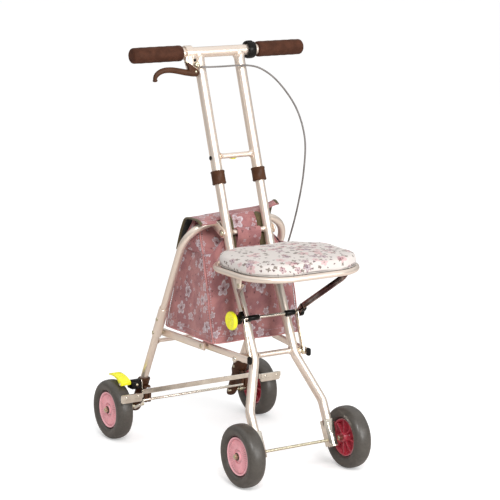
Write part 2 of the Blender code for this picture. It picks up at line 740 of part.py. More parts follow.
def seat():
    """The seat ring with its base and cushion, which tips on the front tubes."""
    hy, hz = HINGE
    centre = rounded([(-RING_X, RING_FRONT, hz), (RING_X, RING_FRONT, hz), (RING_X, hy, hz), (-RING_X, hy, hz)],
                     [RING_CORNER] * 4, 5, closed=True)
    hoop = tube("seat_ring", centre, RING_R, SEAT, CREAM, 10, closed=True)
    inset = RING_R + GAP
    plan = outline_ring(RING_X - inset, RING_FRONT + inset, hy - EYE_R - 2 * PLAY, RING_CORNER - inset)
    low = hz - BASE_T
    prism("seat_base", plan, (0, 0, low), (1, 0, 0), (0, 1, 0), BASE_T, SEAT, BLACK)
    mid_y = (RING_FRONT + hy) / 2
    start = low + BASE_T + GAP
    tall = CUSHION_TOP - start
    rings = []
    for up, grow in ((0.0, -0.0030), (0.25, -0.0004), (0.58, -0.0004), (0.74, -0.0030), (0.85, -0.012),
                     (0.93, -0.030), (0.98, -0.058), (1.0, -0.090)):
        ring = [Vector((x * (1 + grow / RING_X), mid_y + (y - mid_y) * (1 + grow / 0.111), start + tall * up))
                for x, y in plan]
        rings.append(ring)
    bridge("cushion", rings, SEAT, WHITE)
    for side, s in SIDES:
        y, z = LUG_PIN
        outline = [(y - 0.006, z - 0.005), (y + 0.006, z - 0.005), (y + 0.010, z + 0.015), (y - 0.010, z + 0.015)]
        lug = prism("join", outline, (s * LUG_X - LUG_T / 2, 0, 0), (0, 1, 0), (0, 0, 1), LUG_T, None, None)
        lug_pin = headed_pin(s * (LUG_X - 0.0005), s * (STRUT_TOP_X - FLAT_T / 2 - PLAY), LUG_PIN, TOGGLE_R,
                             0.005, 0.002)
        join(hoop, lug, lug_pin)


def linkage():
    """Struts on their cross rod, with knuckles and knob, and the lower links."""
    a, b = Vector((0, *TOGGLE)), Vector((0, *LUG_PIN))
    along = (b - a).normalized()
    across = Vector((1, 0, 0)).cross(along)
    length = (b - a).length
    half, flat, past = FLAT_T / 2, 0.016, 0.0065
    end = STRUT_LOW_X + half + GAP + KNUCKLE_T + PLAY
    rod = shaft("strut_frame", [(-KNOB_X - KNOB_T * 0.6, TOGGLE_R), (end, TOGGLE_R)], TOGGLE, STRUTS, CHROME, 12)
    for side, s in SIDES:
        bends = [(-past, STRUT_LOW_X), (flat, STRUT_LOW_X), (length - flat, STRUT_TOP_X), (length + past, STRUT_TOP_X)]
        rings = []
        for u, x in bends:
            p = a + along * u + Vector((s * x, 0, 0))
            w = across * FLAT_W / 2
            t = Vector((half, 0, 0))
            rings.append([p - w - t, p + w - t, p + w + t, p - w + t])
        strut = bridge("join", rings, None, None)
        join(rod, strut)
        high = x_bore(LUG_PIN, TOGGLE_R, s * 0.11, s * 0.128)
        cut(rod, high)
        drop(high)
        x0, x1 = s * (LINK_X - half), s * (LINK_X + half)
        flat_link("lower_link_" + side, TOGGLE, LINK_PIN, x0, x1, FLAT_W, LINKS, CHROME, [(TOGGLE, TOGGLE_R)])
        k0 = s * (STRUT_LOW_X + half + GAP)
        sleeve("knuckle_" + side, (k0, *TOGGLE), (k0 + s * KNUCKLE_T, *TOGGLE), TOGGLE_R + GAP, KNUCKLE_R,
               STRUTS, BLACK, 16)
    knob = [(TOGGLE_R + GAP, 0.0), (KNOB_R - 0.002, 0.0), (KNOB_R, 0.002), (KNOB_R, KNOB_T - 0.002),
            (KNOB_R - 0.002, KNOB_T), (TOGGLE_R + GAP, KNOB_T)]
    turned("release_knob", knob, (-KNOB_X, *TOGGLE), STRUTS, YELLOW, 24, side=-1)


def handle():
    """The telescopic handle with its bar, grips, collars, clamp and ring."""
    y, z = BAR
    bar = pin("handle_frame", -BAR_END, BAR_END, BAR, BAR_R, HANDLE, CREAM, 18)
    cross = shaft("join", [(-MAIN_X, CROSS_R), (MAIN_X, CROSS_R)], (upper_y(CROSS_Z), CROSS_Z), None, None, 12)
    stems, holes = [], []
    for side, s in SIDES:
        low = (s * MAIN_X, upper_y(HANDLE_LOW_Z), HANDLE_LOW_Z)
        stems.append(tube("join", [low, (s * MAIN_X, y, z)], HANDLE_R, None, None, 16))
        under = (s * MAIN_X, upper_y(HANDLE_LOW_Z - 0.01), HANDLE_LOW_Z - 0.01)
        over = (s * MAIN_X, upper_y(BORE_TOP_Z), BORE_TOP_Z)
        holes.append(bore([under, over], MAIN_R))
        a = (s * MAIN_X, upper_y(COLLAR_LOW_Z), COLLAR_LOW_Z)
        b = (s * MAIN_X, upper_y(COLLAR_TOP_Z), COLLAR_TOP_Z)
        sleeve("collar_" + side, a, b, HANDLE_R + GAP, COLLAR_R, HANDLE, BROWN, 16, 0.001)
    join(bar, cross, *stems)
    cut(bar, *holes)
    drop(*holes)
    for name, inner, s in (("grip_left", GRIP_LEFT_IN, -1), ("grip_right", GRIP_RIGHT_IN, 1)):
        length = GRIP_END - inner
        hole = BAR_END + GAP - inner
        profile = [(BAR_R + GAP, 0.0), (GRIP_R - 0.001, 0.0), (GRIP_R, 0.0015), (GRIP_R, length - 0.003),
                   (GRIP_R - 0.0025, length)]
        steps = 18
        bm = bmesh.new()
        loops = []
        for r, x in [(BAR_R + GAP, hole)] + profile:
            loops.append([bm.verts.new((s * (inner + x), y + r * math.cos(2 * math.pi * k / steps),
                                        z + r * math.sin(2 * math.pi * k / steps))) for k in range(steps)])
        for low, high in zip(loops, loops[1:]):
            for i in range(steps):
                j = (i + 1) % steps
                bm.faces.new((low[i], low[j], high[j], high[i]))
        bm.faces.new(loops[0])
        bm.faces.new(loops[-1])
        finish(mesh_object(name, bm), HANDLE, BROWN)
    ring = sleeve("cane_ring", (CANE_RING_X[0], y, z), (CANE_RING_X[1], y, z), BAR_R + GAP, CANE_RING_R,
                  HANDLE, BROWN, 18, 0.0015)
    lot = guide(prism("cutter", [(-0.05, -0.0035), (0.0, -0.0035), (0.0, 0.0035), (-0.05, 0.0035)],
                      (CANE_RING_X[0] - 0.01, y, z), (0, 1, 0), (0, 0, 1), 0.05, None, BROWN))
    cut(ring, lot)
    drop(lot)
    clamp = sleeve("lever_clamp", (CLAMP_X[0], y, z), (CLAMP_X[1], y, z), BAR_R + GAP, CLAMP_R, HANDLE, BROWN, 16)
    px, py, pz = LEVER_PIVOT
    shape = [(-0.0862, 0.809), (-0.0862, 0.818), (-0.082, 0.822), (-0.0605, 0.822), (-0.0605, 0.782),
             (-0.064, 0.779), (-0.072, 0.779), (-0.080, 0.790)]
    front = py - 0.0045
    bracket = prism("lever_bracket", shape, (0, BAR[0] - 0.010, 0), (1, 0, 0), (0, 0, 1),
                    BAR[0] - 0.010 - front - 0.0100, None, None)
    hole = x_bore(BAR, BAR_R, -0.11, -0.02, 20)
    join(clamp, bracket)
    cut(clamp, hole)
    drop(hole)
    release = [(-0.012, 0.0), (0.012, 0.0), (0.0105, -0.006), (0.006, -0.010), (0.0, -0.0115),
               (-0.006, -0.010), (-0.0105, -0.006)]
    holder_y = upper_y(CROSS_Z)
    prism("release_button", release, (0, holder_y + CROSS_R + GAP + BUTTON_DEEP, CROSS_Z + 0.002), (1, 0, 0),
          (0, 0, 1), BUTTON_DEEP, HANDLE, YELLOW)


def brake_lever():
    """The curved brake lever below the left grip, with its pivot screw."""
    px, py, pz = LEVER_PIVOT
    way = [(px, py, pz), (-0.075, py, 0.787), (-0.100, py, 0.792), (-0.130, py, 0.7965), (-0.150, py, 0.7925),
           (-0.161, py, 0.786), (-0.161, py, 0.776)]
    blade = tube("brake_lever", rounded(way, [0, 0.03, 0.05, 0.04, 0.012, 0.006, 0], 3), LEVER_R, LEVER, BROWN, 12)
    return blade


def brake_bar():
    """The flat brake bar with its cranked ends and the pads ahead of the tyres."""
    y, z = BRAKE_BAR
    half = BRAKE_BAR_T / 2
    inner, outer = BRAKE_PLATE_X
    line = [(-outer, BRAKE_PLATE_Y), (-inner, BRAKE_PLATE_Y), (-0.136, y), (0.136, y), (inner, BRAKE_PLATE_Y),
            (outer, BRAKE_PLATE_Y)]
    outline = [(u, v - half) for u, v in line] + [(u, v + half) for u, v in reversed(line)]
    bar = prism("brake_bar", outline, (0, 0, z - BRAKE_BAR_H / 2), (1, 0, 0), (0, 1, 0), BRAKE_BAR_H, PRESS, CHROME,
                False)
    for side, s in SIDES:
        x0, x1 = s * (inner + 0.001), s * outer
        high = BRAKE_PLATE_H / 2
        y1 = BRAKE_PLATE_Y + half - 0.0005
        pad = [(min(x0, x1), z - high - 0.004), (max(x0, x1), z - high - 0.004), (max(x0, x1), z + high - 0.004),
               (min(x0, x1), z + high - 0.004)]
        join(bar, prism("join", pad, (0, y1 + 0.003, 0), (1, 0, 0), (0, 0, 1), 0.003, None, None))


def pedal():
    """The yellow parking pedal over the rear left tyre and its bracket."""
    py, pz = PEDAL_PIN
    x_in, x_out = PEDAL_X
    shape = [(py - 0.006, pz - 0.003), (py - 0.006, pz + 0.005), (py + 0.020, pz + 0.016), (py + 0.048, pz + 0.021),
             (py + 0.052, pz + 0.017), (py + 0.024, pz + 0.011), (py + 0.006, pz - 0.003)]
    pad = prism("parking_pedal", shape, (-x_out, 0, 0), (0, 1, 0), (0, 0, 1), x_out - x_in, PEDAL, YELLOW)
    hole = x_bore(PEDAL_PIN, 0.0018, -0.19, -0.15, 10)
    cut(pad, hole)
    drop(hole)
    arm_in, arm_out = REAR_X + HOUSING_R + GAP, x_in - PLAY
    arm = prism("pedal_bracket", [(py - 0.008, pz - 0.013), (py + 0.014, pz - 0.013), (py + 0.014, pz - 0.004),
                                  (py + 0.006, pz + 0.006), (py - 0.006, pz + 0.006), (py - 0.008, pz + 0.002)],
                (-arm_out, 0, 0), (0, 1, 0), (0, 0, 1), arm_out - arm_in, REAR_FRAME, BLACK)
    join(arm, shaft("join", [(-(x_out + 0.001), 0.0018), (-(arm_out - 0.005), 0.0018)], PEDAL_PIN, None, None, 10))


def bag_ring(z, inset):
    t = (z - BAG_LOW_Z) / (BAG_RIM_Z - BAG_LOW_Z)
    half = BAG_HALF_LOW + (BAG_HALF_TOP - BAG_HALF_LOW) * t
    front = BAG_FRONT_LOW + BAG_FRONT_SLOPE * (z - BAG_LOW_Z)
    rear = BAG_REAR_LOW + BAG_REAR_SLOPE * (z - BAG_LOW_Z)
    plan = outline_ring(half - inset, front + inset, rear - inset, BAG_CORNER - inset, 4)
    return [Vector((x, y, z)) for x, y in plan]


def sheet(name, line, half, body, mat):
    """Cloth of the bag's thickness along a line of (y, z), across the walker."""
    back = []
    for i, (y, z) in enumerate(line):
        a = line[max(i - 1, 0)]
        b = line[min(i + 1, len(line) - 1)]
        d = Vector((b[0] - a[0], b[1] - a[1])).normalized()
        back.append((y + d.y * BAG_WALL, z - d.x * BAG_WALL))
    return prism(name, line + back[::-1], (-half, 0, 0), (0, 1, 0), (0, 0, 1), 2 * half, body, mat)


def bag():
    """The open carry bag, its front flap and strap, and the lid over the rear tube."""
    rings = [bag_ring(BAG_LOW_Z, 0.006), bag_ring(BAG_LOW_Z + 0.008, 0.0), bag_ring(BAG_MID_Z, -0.002),
             bag_ring(BAG_RIM_Z, 0.0), bag_ring(BAG_RIM_Z, BAG_WALL), bag_ring(BAG_MID_Z, BAG_WALL - 0.002),
             bag_ring(BAG_LOW_Z + 0.008, BAG_WALL), bag_ring(BAG_LOW_Z + BAG_WALL, 0.007)]
    bridge("bag", rings, WALKER, ROSE)
    z0 = BAG_RIM_Z + GAP * 4
    y0 = BAG_FRONT_LOW + BAG_FRONT_SLOPE * (z0 - BAG_LOW_Z)
    flap = [(y0, z0), (0.1985, 0.489), (0.202, 0.4945), (0.2095, 0.5000), (0.2200, 0.5006)]
    cover = [(0.2095, 0.5003), (0.228, 0.5010), (0.244, 0.5018), (0.268, 0.478), (0.288, 0.428)]
    lid = sheet("bag_lid", cover, LID_HALF, WALKER, ROSE)
    join(lid, sheet("join", flap, FLAP_HALF, None, None))
    y, z = PIVOT
    inner, outer = PIVOT_BAR_R + GAP, PIVOT_BAR_R + GAP + 0.002
    loop = []
    for k in range(9):
        a = math.radians(-30 + 210 * k / 8)
        loop.append((y + outer * math.cos(a), z + outer * math.sin(a)))
    low = (0.1845, 0.440)
    loop += [(y - outer, z - 0.002), (low[0] - 0.002, low[1]), (low[0], low[1]), (y - inner, z - 0.004)]
    for k in range(8):
        a = math.radians(180 - 210 * k / 8)
        loop.append((y + inner * math.cos(a), z + inner * math.sin(a)))
    prism("bag_strap", loop, (-STRAP_HALF, 0, 0), (0, 1, 0), (0, 0, 1), 2 * STRAP_HALF, WALKER, ROSE)


def cable():
    """The brake cable from the lever down the right leg to the wide housing."""
    way = [(-0.066, 0.2782, 0.806), (-0.048, 0.2715, 0.800), (-0.010, 0.2700, 0.797), (0.053, 0.2712, 0.796),
           (0.092, 0.269, 0.786), (0.120, 0.248, 0.758), (0.134, 0.205, 0.710), (0.138, 0.178, 0.650),
           (0.138, 0.182, 0.580), (0.138, 0.202, 0.510), (0.136, 0.226, 0.450), (0.136, 0.262, 0.385),
           (0.1358, 0.304, 0.310), (0.1355, 0.345, 0.235), (0.134, 0.375, 0.185), (0.1305, 0.3925, 0.1523)]
    pts = [Vector(p) for p in way]
    smooth = []
    for i in range(len(pts) - 1):
        p0, p1 = pts[max(i - 1, 0)], pts[i]
        p2, p3 = pts[i + 1], pts[min(i + 2, len(pts) - 1)]
        for k in range(3):
            t = k / 3
            smooth.append(0.5 * ((2 * p1) + (p2 - p0) * t + (2 * p0 - 5 * p1 + 4 * p2 - p3) * t * t
                                 + (3 * p1 - p0 - 3 * p2 + p3) * t ** 3))
    smooth.append(pts[-1])
    tube("brake_cable", smooth, CABLE_R, HANDLE, BLACK, 6)


main_frame()
rear_frame()
wheels()
braces()
seat()
linkage()
handle()
brake_lever()
brake_bar()
pedal()
bag()
cable()
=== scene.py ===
# Dresses a folding shopping walker: paint, wheels, seat, bag, handle and a plain studio.
# Lengths are in millimetres, counted from the front axle; meshes are written in metres.
import math

import bmesh
import bpy
from mathutils import Matrix, Vector


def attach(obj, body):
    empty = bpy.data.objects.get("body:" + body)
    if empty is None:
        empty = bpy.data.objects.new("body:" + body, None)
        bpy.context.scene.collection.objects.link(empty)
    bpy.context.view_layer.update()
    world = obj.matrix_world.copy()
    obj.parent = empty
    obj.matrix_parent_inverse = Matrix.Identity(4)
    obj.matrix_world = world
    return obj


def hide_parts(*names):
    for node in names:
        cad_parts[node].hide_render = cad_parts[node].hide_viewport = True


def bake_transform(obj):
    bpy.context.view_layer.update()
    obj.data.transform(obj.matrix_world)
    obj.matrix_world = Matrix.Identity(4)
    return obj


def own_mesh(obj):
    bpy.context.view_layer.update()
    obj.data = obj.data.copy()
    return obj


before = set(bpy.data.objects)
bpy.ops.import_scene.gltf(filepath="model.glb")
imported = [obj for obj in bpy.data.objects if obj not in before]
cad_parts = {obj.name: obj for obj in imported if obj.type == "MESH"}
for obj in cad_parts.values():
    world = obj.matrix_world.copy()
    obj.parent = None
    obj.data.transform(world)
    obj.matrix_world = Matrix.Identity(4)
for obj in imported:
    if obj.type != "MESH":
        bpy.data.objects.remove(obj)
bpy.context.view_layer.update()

bl_info = {
    "name": "Shopping Walker Dresser",
    "version": (1, 0, 0),
    "blender": (4, 5, 0),
    "location": "View3D > Sidebar > Walker",
    "description": "Builds the finishes and soft pieces of a folding shopping walker",
    "category": "Object",
}

MM = 0.001
# The front axle's place along the frame
AXLE = -209.9
WHEEL_R, TYRE_W, HUB_R = 63.5, 37, 38.4
# Name, side, half track and distance behind the front axle
WHEELS = (("front_left", -1, 125, 0), ("front_right", 1, 125, 0),
          ("rear_left", -1, 180.4, 435.3), ("rear_right", 1, 180.4, 435.3))
# Axles, pins and bars across the walker, as (y, z)
PIVOT, HINGE, BAR, TOGGLE = (183, 471), (150, 421), (298, 826), (98.5, 311)
EAR_PIN, LINK_PIN, LUG_PIN = (108, 228), (74, 234), (7, 403)
BRACE_FRONT, BRACE_MID, BRACE_REAR = (66, 234), (210, 237), (349, 240)
REAR_AXLE = (435.3, WHEEL_R)
# Half distances between the front tubes, their feet and the rear legs
TUBE_X, FOOT_X, REAR_X = 48, 86.3, 120.5
SIDES = (("left", -1, Vector((-1, 0, 0))), ("right", 1, Vector((1, 0, 0))))
UP = Vector((0, 0.325, 1)).normalized()
DOWN = Vector((0, -0.473, -1)).normalized()
FRONT = Vector((0, -1, 0.473)).normalized()
LEG = Vector((0, -0.526, 1)).normalized()


def at(x, y, z):
    """A point given from the front axle, in the frame."""
    return Vector((x, y + AXLE, z))


def upper_y(z):
    return 157 + 0.325 * (z - 391.8)


def on_upper(x, z):
    """A point on the upper stretch of the front tubes."""
    return at(x, upper_y(z), z)


def on_lower(x, z):
    """A point on the lower stretch of the front tubes."""
    return at(x, 157 - 0.473 * (391.8 - z), z)


def on_leg(s, z, out=0):
    """A point on a rear leg, or beside it."""
    return at(s * (REAR_X + out), 218 + 0.526 * (488 - z), z)


# ---- Mesh helpers


def new_object(name, data):
    obj = bpy.data.objects.new(name, data)
    bpy.context.scene.collection.objects.link(obj)
    return obj


def crease(obj, angle):
    obj.data.shade_smooth()
    obj.data.set_sharp_from_angle(angle=math.radians(angle))
    return obj


def outward(obj, weld=0.0):
    """Turn the faces outward, after points that lie together are joined."""
    bm = bmesh.new()
    bm.from_mesh(obj.data)
    if weld:
        bmesh.ops.remove_doubles(bm, verts=bm.verts, dist=weld)
    bmesh.ops.recalc_face_normals(bm, faces=bm.faces)
    bm.to_mesh(obj.data)
    bm.free()


def mesh_piece(name, verts, faces, mats, angle=40, uv=None):
    """A plain mesh object at the origin, in metres, faces outward."""
    mesh = bpy.data.meshes.new(name)
    mesh.from_pydata([tuple(Vector(v) * MM) for v in verts], [], faces)
    if uv:
        layer = mesh.uv_layers.new(name="Cloth")
        for loop in mesh.loops:
            layer.data[loop.index].uv = Vector(uv[loop.vertex_index]) * MM
    for mat in mats if isinstance(mats, tuple) else (mats,):
        mesh.materials.append(mat)
    obj = new_object(name, mesh)
    outward(obj)
    return crease(obj, angle)


def loft(rings, closed=False, caps=True):
    """Vertices and faces of a skin over rings of points."""
    n, count = len(rings[0]), len(rings)
    faces = []
    for k in range(count if closed else count - 1):
        a, b = k * n, (k + 1) % count * n
        faces += [(a + i, a + (i + 1) % n, b + (i + 1) % n, b + i) for i in range(n)]
    if caps and not closed:
        faces += [tuple(range(n)), tuple(range((count - 1) * n, count * n))]
    return [v for ring in rings for v in ring], faces


def grid_faces(rows, columns):
    n = columns + 1
    return [(r * n + c, r * n + c + 1, (r + 1) * n + c + 1, (r + 1) * n + c)
            for r in range(rows) for c in range(columns)]


def circle(count, wide, tall=None):
    """Points of a circle, or of an oval with its half width and half height."""
    tall = wide if tall is None else tall
    return [(wide * math.cos(math.tau * k / count), tall * math.sin(math.tau * k / count)) for k in range(count)]


def chamfered(x0, x1, y0, y1, cx, cy):
    """A rectangle with its corners cut by (cx, cy)."""
    return [(x0, y0 + cy), (x0 + cx, y0), (x1 - cx, y0), (x1, y0 + cy),
            (x1, y1 - cy), (x1 - cx, y1), (x0 + cx, y1), (x0, y1 - cy)]


def sleeve(inner, outer, run, off=0.7, drop=0.7):
    """The profile of a round sleeve with eased outer rims."""
    return [(inner, 0), (outer - off, 0), (outer, drop), (outer, run - drop), (outer - off, run), (inner, run)]


def blend_in(value, low, high):
    """0 below low, 1 above high and a soft step between."""
    t = max(0.0, min(1.0, (value - low) / (high - low)))
    return t * t * (3 - 2 * t)


def round_line(points, radii, steps=8):
    """A line through the points with arcs at its corners."""
    pts = [Vector(p) for p in points]
    out, count = [], len(pts)
    for i, (p, radius) in enumerate(zip(pts, radii)):
        if radius <= 0:
            out.append(p)
            continue
        a = (pts[i - 1] - p).normalized()
        b = (pts[(i + 1) % count] - p).normalized()
        half = a.angle(b) / 2
        centre = p + (a + b).normalized() * (radius / math.sin(half))
        start, end = (p + way * (radius / math.tan(half)) - centre for way in (a, b))
        axis, turn = start.cross(end).normalized(), start.angle(end)
        out += [centre + Matrix.Rotation(turn * k / steps, 3, axis) @ start for k in range(steps + 1)]
    return out


def spline(points, per=6):
    """A smooth line through the points."""
    pts = [Vector(p) for p in points]
    out = []
    for i in range(len(pts) - 1):
        p0, p1, p2, p3 = pts[max(i - 1, 0)], pts[i], pts[i + 1], pts[min(i + 2, len(pts) - 1)]
        out += [0.5 * (2 * p1 + (p2 - p0) * t + (2 * p0 - 5 * p1 + 4 * p2 - p3) * t * t
                       + (3 * p1 - p0 - 3 * p2 + p3) * t ** 3) for t in (k / per for k in range(per))]
    return out + [pts[-1]]


def lengths(points):
    """How far each point lies along the line."""
    runs = [0.0]
    for a, b in zip(points, points[1:]):
        runs.append(runs[-1] + (b - a).length)
    return runs


def resample(points, count, closed=True):
    """The same line with evenly spaced points."""
    pts = points + [points[0]] if closed else points
    runs = lengths(pts)
    out, k = [], 0
    for i in range(count):
        want = runs[-1] * i / (count if closed else count - 1)
        while k < len(runs) - 2 and runs[k + 1] < want:
            k += 1
        gap = runs[k + 1] - runs[k]
        out.append(pts[k].lerp(pts[k + 1], (want - runs[k]) / gap if gap else 0))
    return out


def frames(points, closed=False):
    """Tangent, side and up vectors that turn as little as they can along a line."""
    n = len(points)
    tangents = []
    for i in range(n):
        a = points[i - 1] if closed or i > 0 else points[i]
        b = points[(i + 1) % n] if closed or i < n - 1 else points[i]
        tangents.append((b - a).normalized())
    side = tangents[0].cross(Vector((0, 0, 1)))
    if side.length < 0.1:
        side = tangents[0].orthogonal()
    out = []
    for i, t in enumerate(tangents):
        if i:
            side = tangents[i - 1].rotation_difference(t) @ side
        side = (side - t * side.dot(t)).normalized()
        out.append((t, side, side.cross(t)))
    return out


def pipe(name, points, radius, mat, sides=24, closed=False, ends=0.0):
    """A bar along a line; a list gives each point's radius, a function another outline as (side, up) pairs."""
    turns, rings = frames(points, closed), []
    for i, (p, (t, s, u)) in enumerate(zip(points, turns)):
        if callable(radius):
            outline = radius(i / (len(points) - 1))
        else:
            outline = circle(sides, radius[i] if isinstance(radius, list) else radius)
        rings.append([p + s * a + u * b for a, b in outline])
    if ends:
        for which, way in ((0, -1), (-1, 1)):
            p, t, ring = points[which], turns[which][0] * way, rings[which]
            dome = [[p + (v - p) * math.cos(a) + t * ends * math.sin(a) for v in ring]
                    for a in (math.pi * k / 6.4 for k in (1, 2, 3))]
            rings = rings + dome if which else dome[::-1] + rings
    return mesh_piece(name, *loft(rings, closed), mat)


def spin(name, profile, centre, axis, mats, steps=64, mat_of=None, angle=35):
    """A closed profile of (radius, offset) pairs turned round an axis."""
    axis = Vector(axis).normalized()
    side = Vector((0, 1, 0)) if abs(axis.x) > 0.9 else axis.orthogonal().normalized()
    up = axis.cross(side)
    rings = [[centre + (side * a + up * b) * r + axis * h for r, h in profile] for a, b in circle(steps, 1)]
    obj = mesh_piece(name, *loft(rings, closed=True), mats, angle)
    if mat_of:
        for poly in obj.data.polygons:
            poly.material_index = mat_of(poly.index % len(profile))
    return obj


def plate(name, outline, origin, ex, ey, depth, mat, bevel):
    """A flat outline drawn out by depth, its edges eased."""
    ex, ey = Vector(ex).normalized(), Vector(ey).normalized()
    low = [origin + ex * u + ey * v for u, v in outline]
    return ease(mesh_piece(name, *loft([low, [p + ex.cross(ey) * depth for p in low]]), mat), bevel)


def side_plate(name, outline, x, depth, mat, bevel, about=(0, 0)):
    """A plate whose outline is seen from the side, as (y, z) pairs counted from about."""
    return plate(name, outline, at(x, *about), (0, 1, 0), (0, 0, 1), depth, mat, bevel)


def front_plate(name, outline, y, depth, mat, bevel, z=0):
    """A plate whose outline is seen from the rear, as (x, z) pairs, drawn out to the front."""
    return plate(name, outline, at(0, y, z), (1, 0, 0), (0, 0, 1), depth, mat, bevel)


def ease(obj, width, angle=30):
    mod = obj.modifiers.new("ease", "BEVEL")
    mod.width, mod.segments, mod.limit_method = width * MM, 2, "ANGLE"
    mod.angle_limit, mod.use_clamp_overlap = math.radians(angle), True
    return settle(obj)


def thicken(obj, depth):
    """Give cloth its wall, with the second material inside."""
    mod = obj.modifiers.new("wall", "SOLIDIFY")
    mod.thickness, mod.offset, mod.use_even_offset = depth * MM, -1.0, False
    mod.material_offset, mod.material_offset_rim = 1, 0
    return settle(obj)


def result_of(obj):
    """The mesh that a piece's modifiers give, put in its place."""
    bpy.context.view_layer.update()
    graph = bpy.context.evaluated_depsgraph_get()
    mesh = bpy.data.meshes.new_from_object(obj.evaluated_get(graph))
    obj.modifiers.clear()
    obj.data, old = mesh, obj.data
    name = old.name
    bpy.data.meshes.remove(old)
    mesh.name = name
    return mesh


def settle(obj):
    """Apply the modifiers of a piece and leave a plain mesh."""
    result_of(obj)
    return crease(obj, 35)


def dress(obj, body, slot, *nodes):
    """Ride on a body and stand for CAD nodes; the slot is not used."""
    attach(obj, body)
    if nodes:
        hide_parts(*nodes)
    return obj


def join(name, parts, body, slot, *nodes):
    """Dress one object made of several parts, each keeping its own materials."""
    bm, mats = bmesh.new(), []
    for part in parts:
        own = list(part.data.materials)
        mats += [mat for mat in own if mat not in mats]
        before = len(bm.faces)
        bm.from_mesh(part.data)
        bm.faces.ensure_lookup_table()
        for face in bm.faces[before:]:
            face.material_index = mats.index(own[min(face.material_index, len(own) - 1)])
        bpy.data.objects.remove(part, do_unlink=True)
    mesh = bpy.data.meshes.new(name)
    bm.to_mesh(mesh)
    bm.free()
    for mat in mats:
        mesh.materials.append(mat)
    return dress(crease(new_object(name, mesh), 38), body, slot, *nodes)


# ---- Sizes and colours that a user may change


def colour(name, note, value):
    return bpy.props.FloatVectorProperty(name=name, description=note, subtype="COLOR", size=3, min=0.0, max=1.0,
                                         default=value)


def length(name, note, value, high):
    return bpy.props.FloatProperty(name=name, description=note, default=value, min=0.0, max=high, unit="LENGTH",
                                   subtype="DISTANCE", precision=4)


def number(name, note, value, low=1):
    return bpy.props.IntProperty(name=name, description=note, default=value, min=low, max=400)


def power(name, note, value):
    return bpy.props.FloatProperty(name=name, description=note, default=value, min=0.0, unit="POWER")


class WalkerColours(bpy.types.PropertyGroup):
    paint: colour("Frame paint", "Champagne paint of the tubes", (0.90, 0.79, 0.69))
    paint_deep: colour("Frame paint in the hollows", "Warmer tone of the same paint", (0.84, 0.70, 0.595))
    brown: colour("Brown mouldings", "Collars, lever and brake housings", (0.083, 0.032, 0.014))
    foam: colour("Grip foam", "Skin of the foam grips", (0.092, 0.034, 0.019))
    yellow: colour("Yellow controls", "Knob, button and pedal", (1.0, 0.95, 0.02))
    tyre: colour("Tyre rubber", "Solid grey rubber", (0.074, 0.065, 0.055))
    hub: colour("Wheel face", "Pink face of the wheels", (1.0, 0.50, 0.545))
    hub_deep: colour("Wheel back", "Deeper red of the ribbed side", (0.55, 0.055, 0.085))
    rose: colour("Bag cloth", "Ground of the bag's print", (0.450, 0.190, 0.182))
    rose_deep: colour("Bag cloth, deep", "Plum clouds in the ground", (0.320, 0.122, 0.128))
    petal: colour("Bag petals", "Pale petals of the print", (0.68, 0.62, 0.66))
    tape: colour("Binding tape", "Olive tape round the bag's lid", (0.105, 0.078, 0.028))
    cotton: colour("Seat cloth", "Ground of the seat's print", (0.70, 0.645, 0.61))
    sprig: colour("Seat sprigs", "Rose sprigs of the seat's print", (0.48, 0.17, 0.20))


class WalkerSizes(bpy.types.PropertyGroup):
    stitch: length("Stitch pitch", "Distance from one stitch to the next", 0.0042, 0.02)
    thread: length("Thread", "Radius of the sewing thread", 0.00038, 0.002)
    piping: length("Piping", "Radius of the corded seams", 0.0015, 0.005)
    tape_width: length("Tape width", "Width of the binding tape on the lid", 0.0078, 0.03)
    hub_flutes: number("Wheel flutes", "Fine ribs on the outer face of a wheel", 40)
    hub_spokes: number("Wheel spokes", "Webs in the inner side of a wheel", 8)
    grip_rings: number("Grip rings", "Shallow rolls along a grip", 5, 0)
    bag_sag: length("Bag sag", "How far the bag's walls hang in or out", 0.006, 0.03)
    crown: length("Seat crown", "Rise of the cushion's middle", 0.004, 0.02)


class WalkerStudio(bpy.types.PropertyGroup):
    lens: bpy.props.FloatProperty(name="Lens", description="Focal length of the camera", default=142.5, min=20,
                                  max=400, unit="CAMERA")
    key: power("Key light", "Power of the large soft light", 64.0)
    fill: power("Fill light", "Power of the light from the far side", 64.0)
    sky: bpy.props.FloatProperty(name="Sky", description="Strength of the even light", default=0.70, min=0.0,
                                 max=3.0, subtype="FACTOR")


def tones():
    return bpy.context.scene.walker_colours


def sizes():
    return bpy.context.scene.walker_sizes


# ---- Finishes


def feed(tree, socket, value):
    """Link a socket to another one or to a node's first output, or set it; a colour has three numbers."""
    if isinstance(value, bpy.types.Node):
        value = value.outputs[0]
    if isinstance(value, bpy.types.NodeSocket):
        tree.links.new(value, socket)
    else:
        socket.default_value = (*value[:3], 1.0) if socket.type == "RGBA" else value


def add_node(tree, kind, *feeds, **values):
    """A node: feeds go to its first sockets, lower-case names are settings, capitalised ones sockets."""
    node = tree.nodes.new(kind)
    for key, value in values.items():
        if key[0].isupper():
            feed(tree, node.inputs[key.replace("_", " ")], value)
        else:
            setattr(node, key, value)
    for socket, value in zip(node.inputs, feeds):
        feed(tree, socket, value)
    return node


def shade(value, k):
    return tuple(min(1.0, c * k) for c in value)


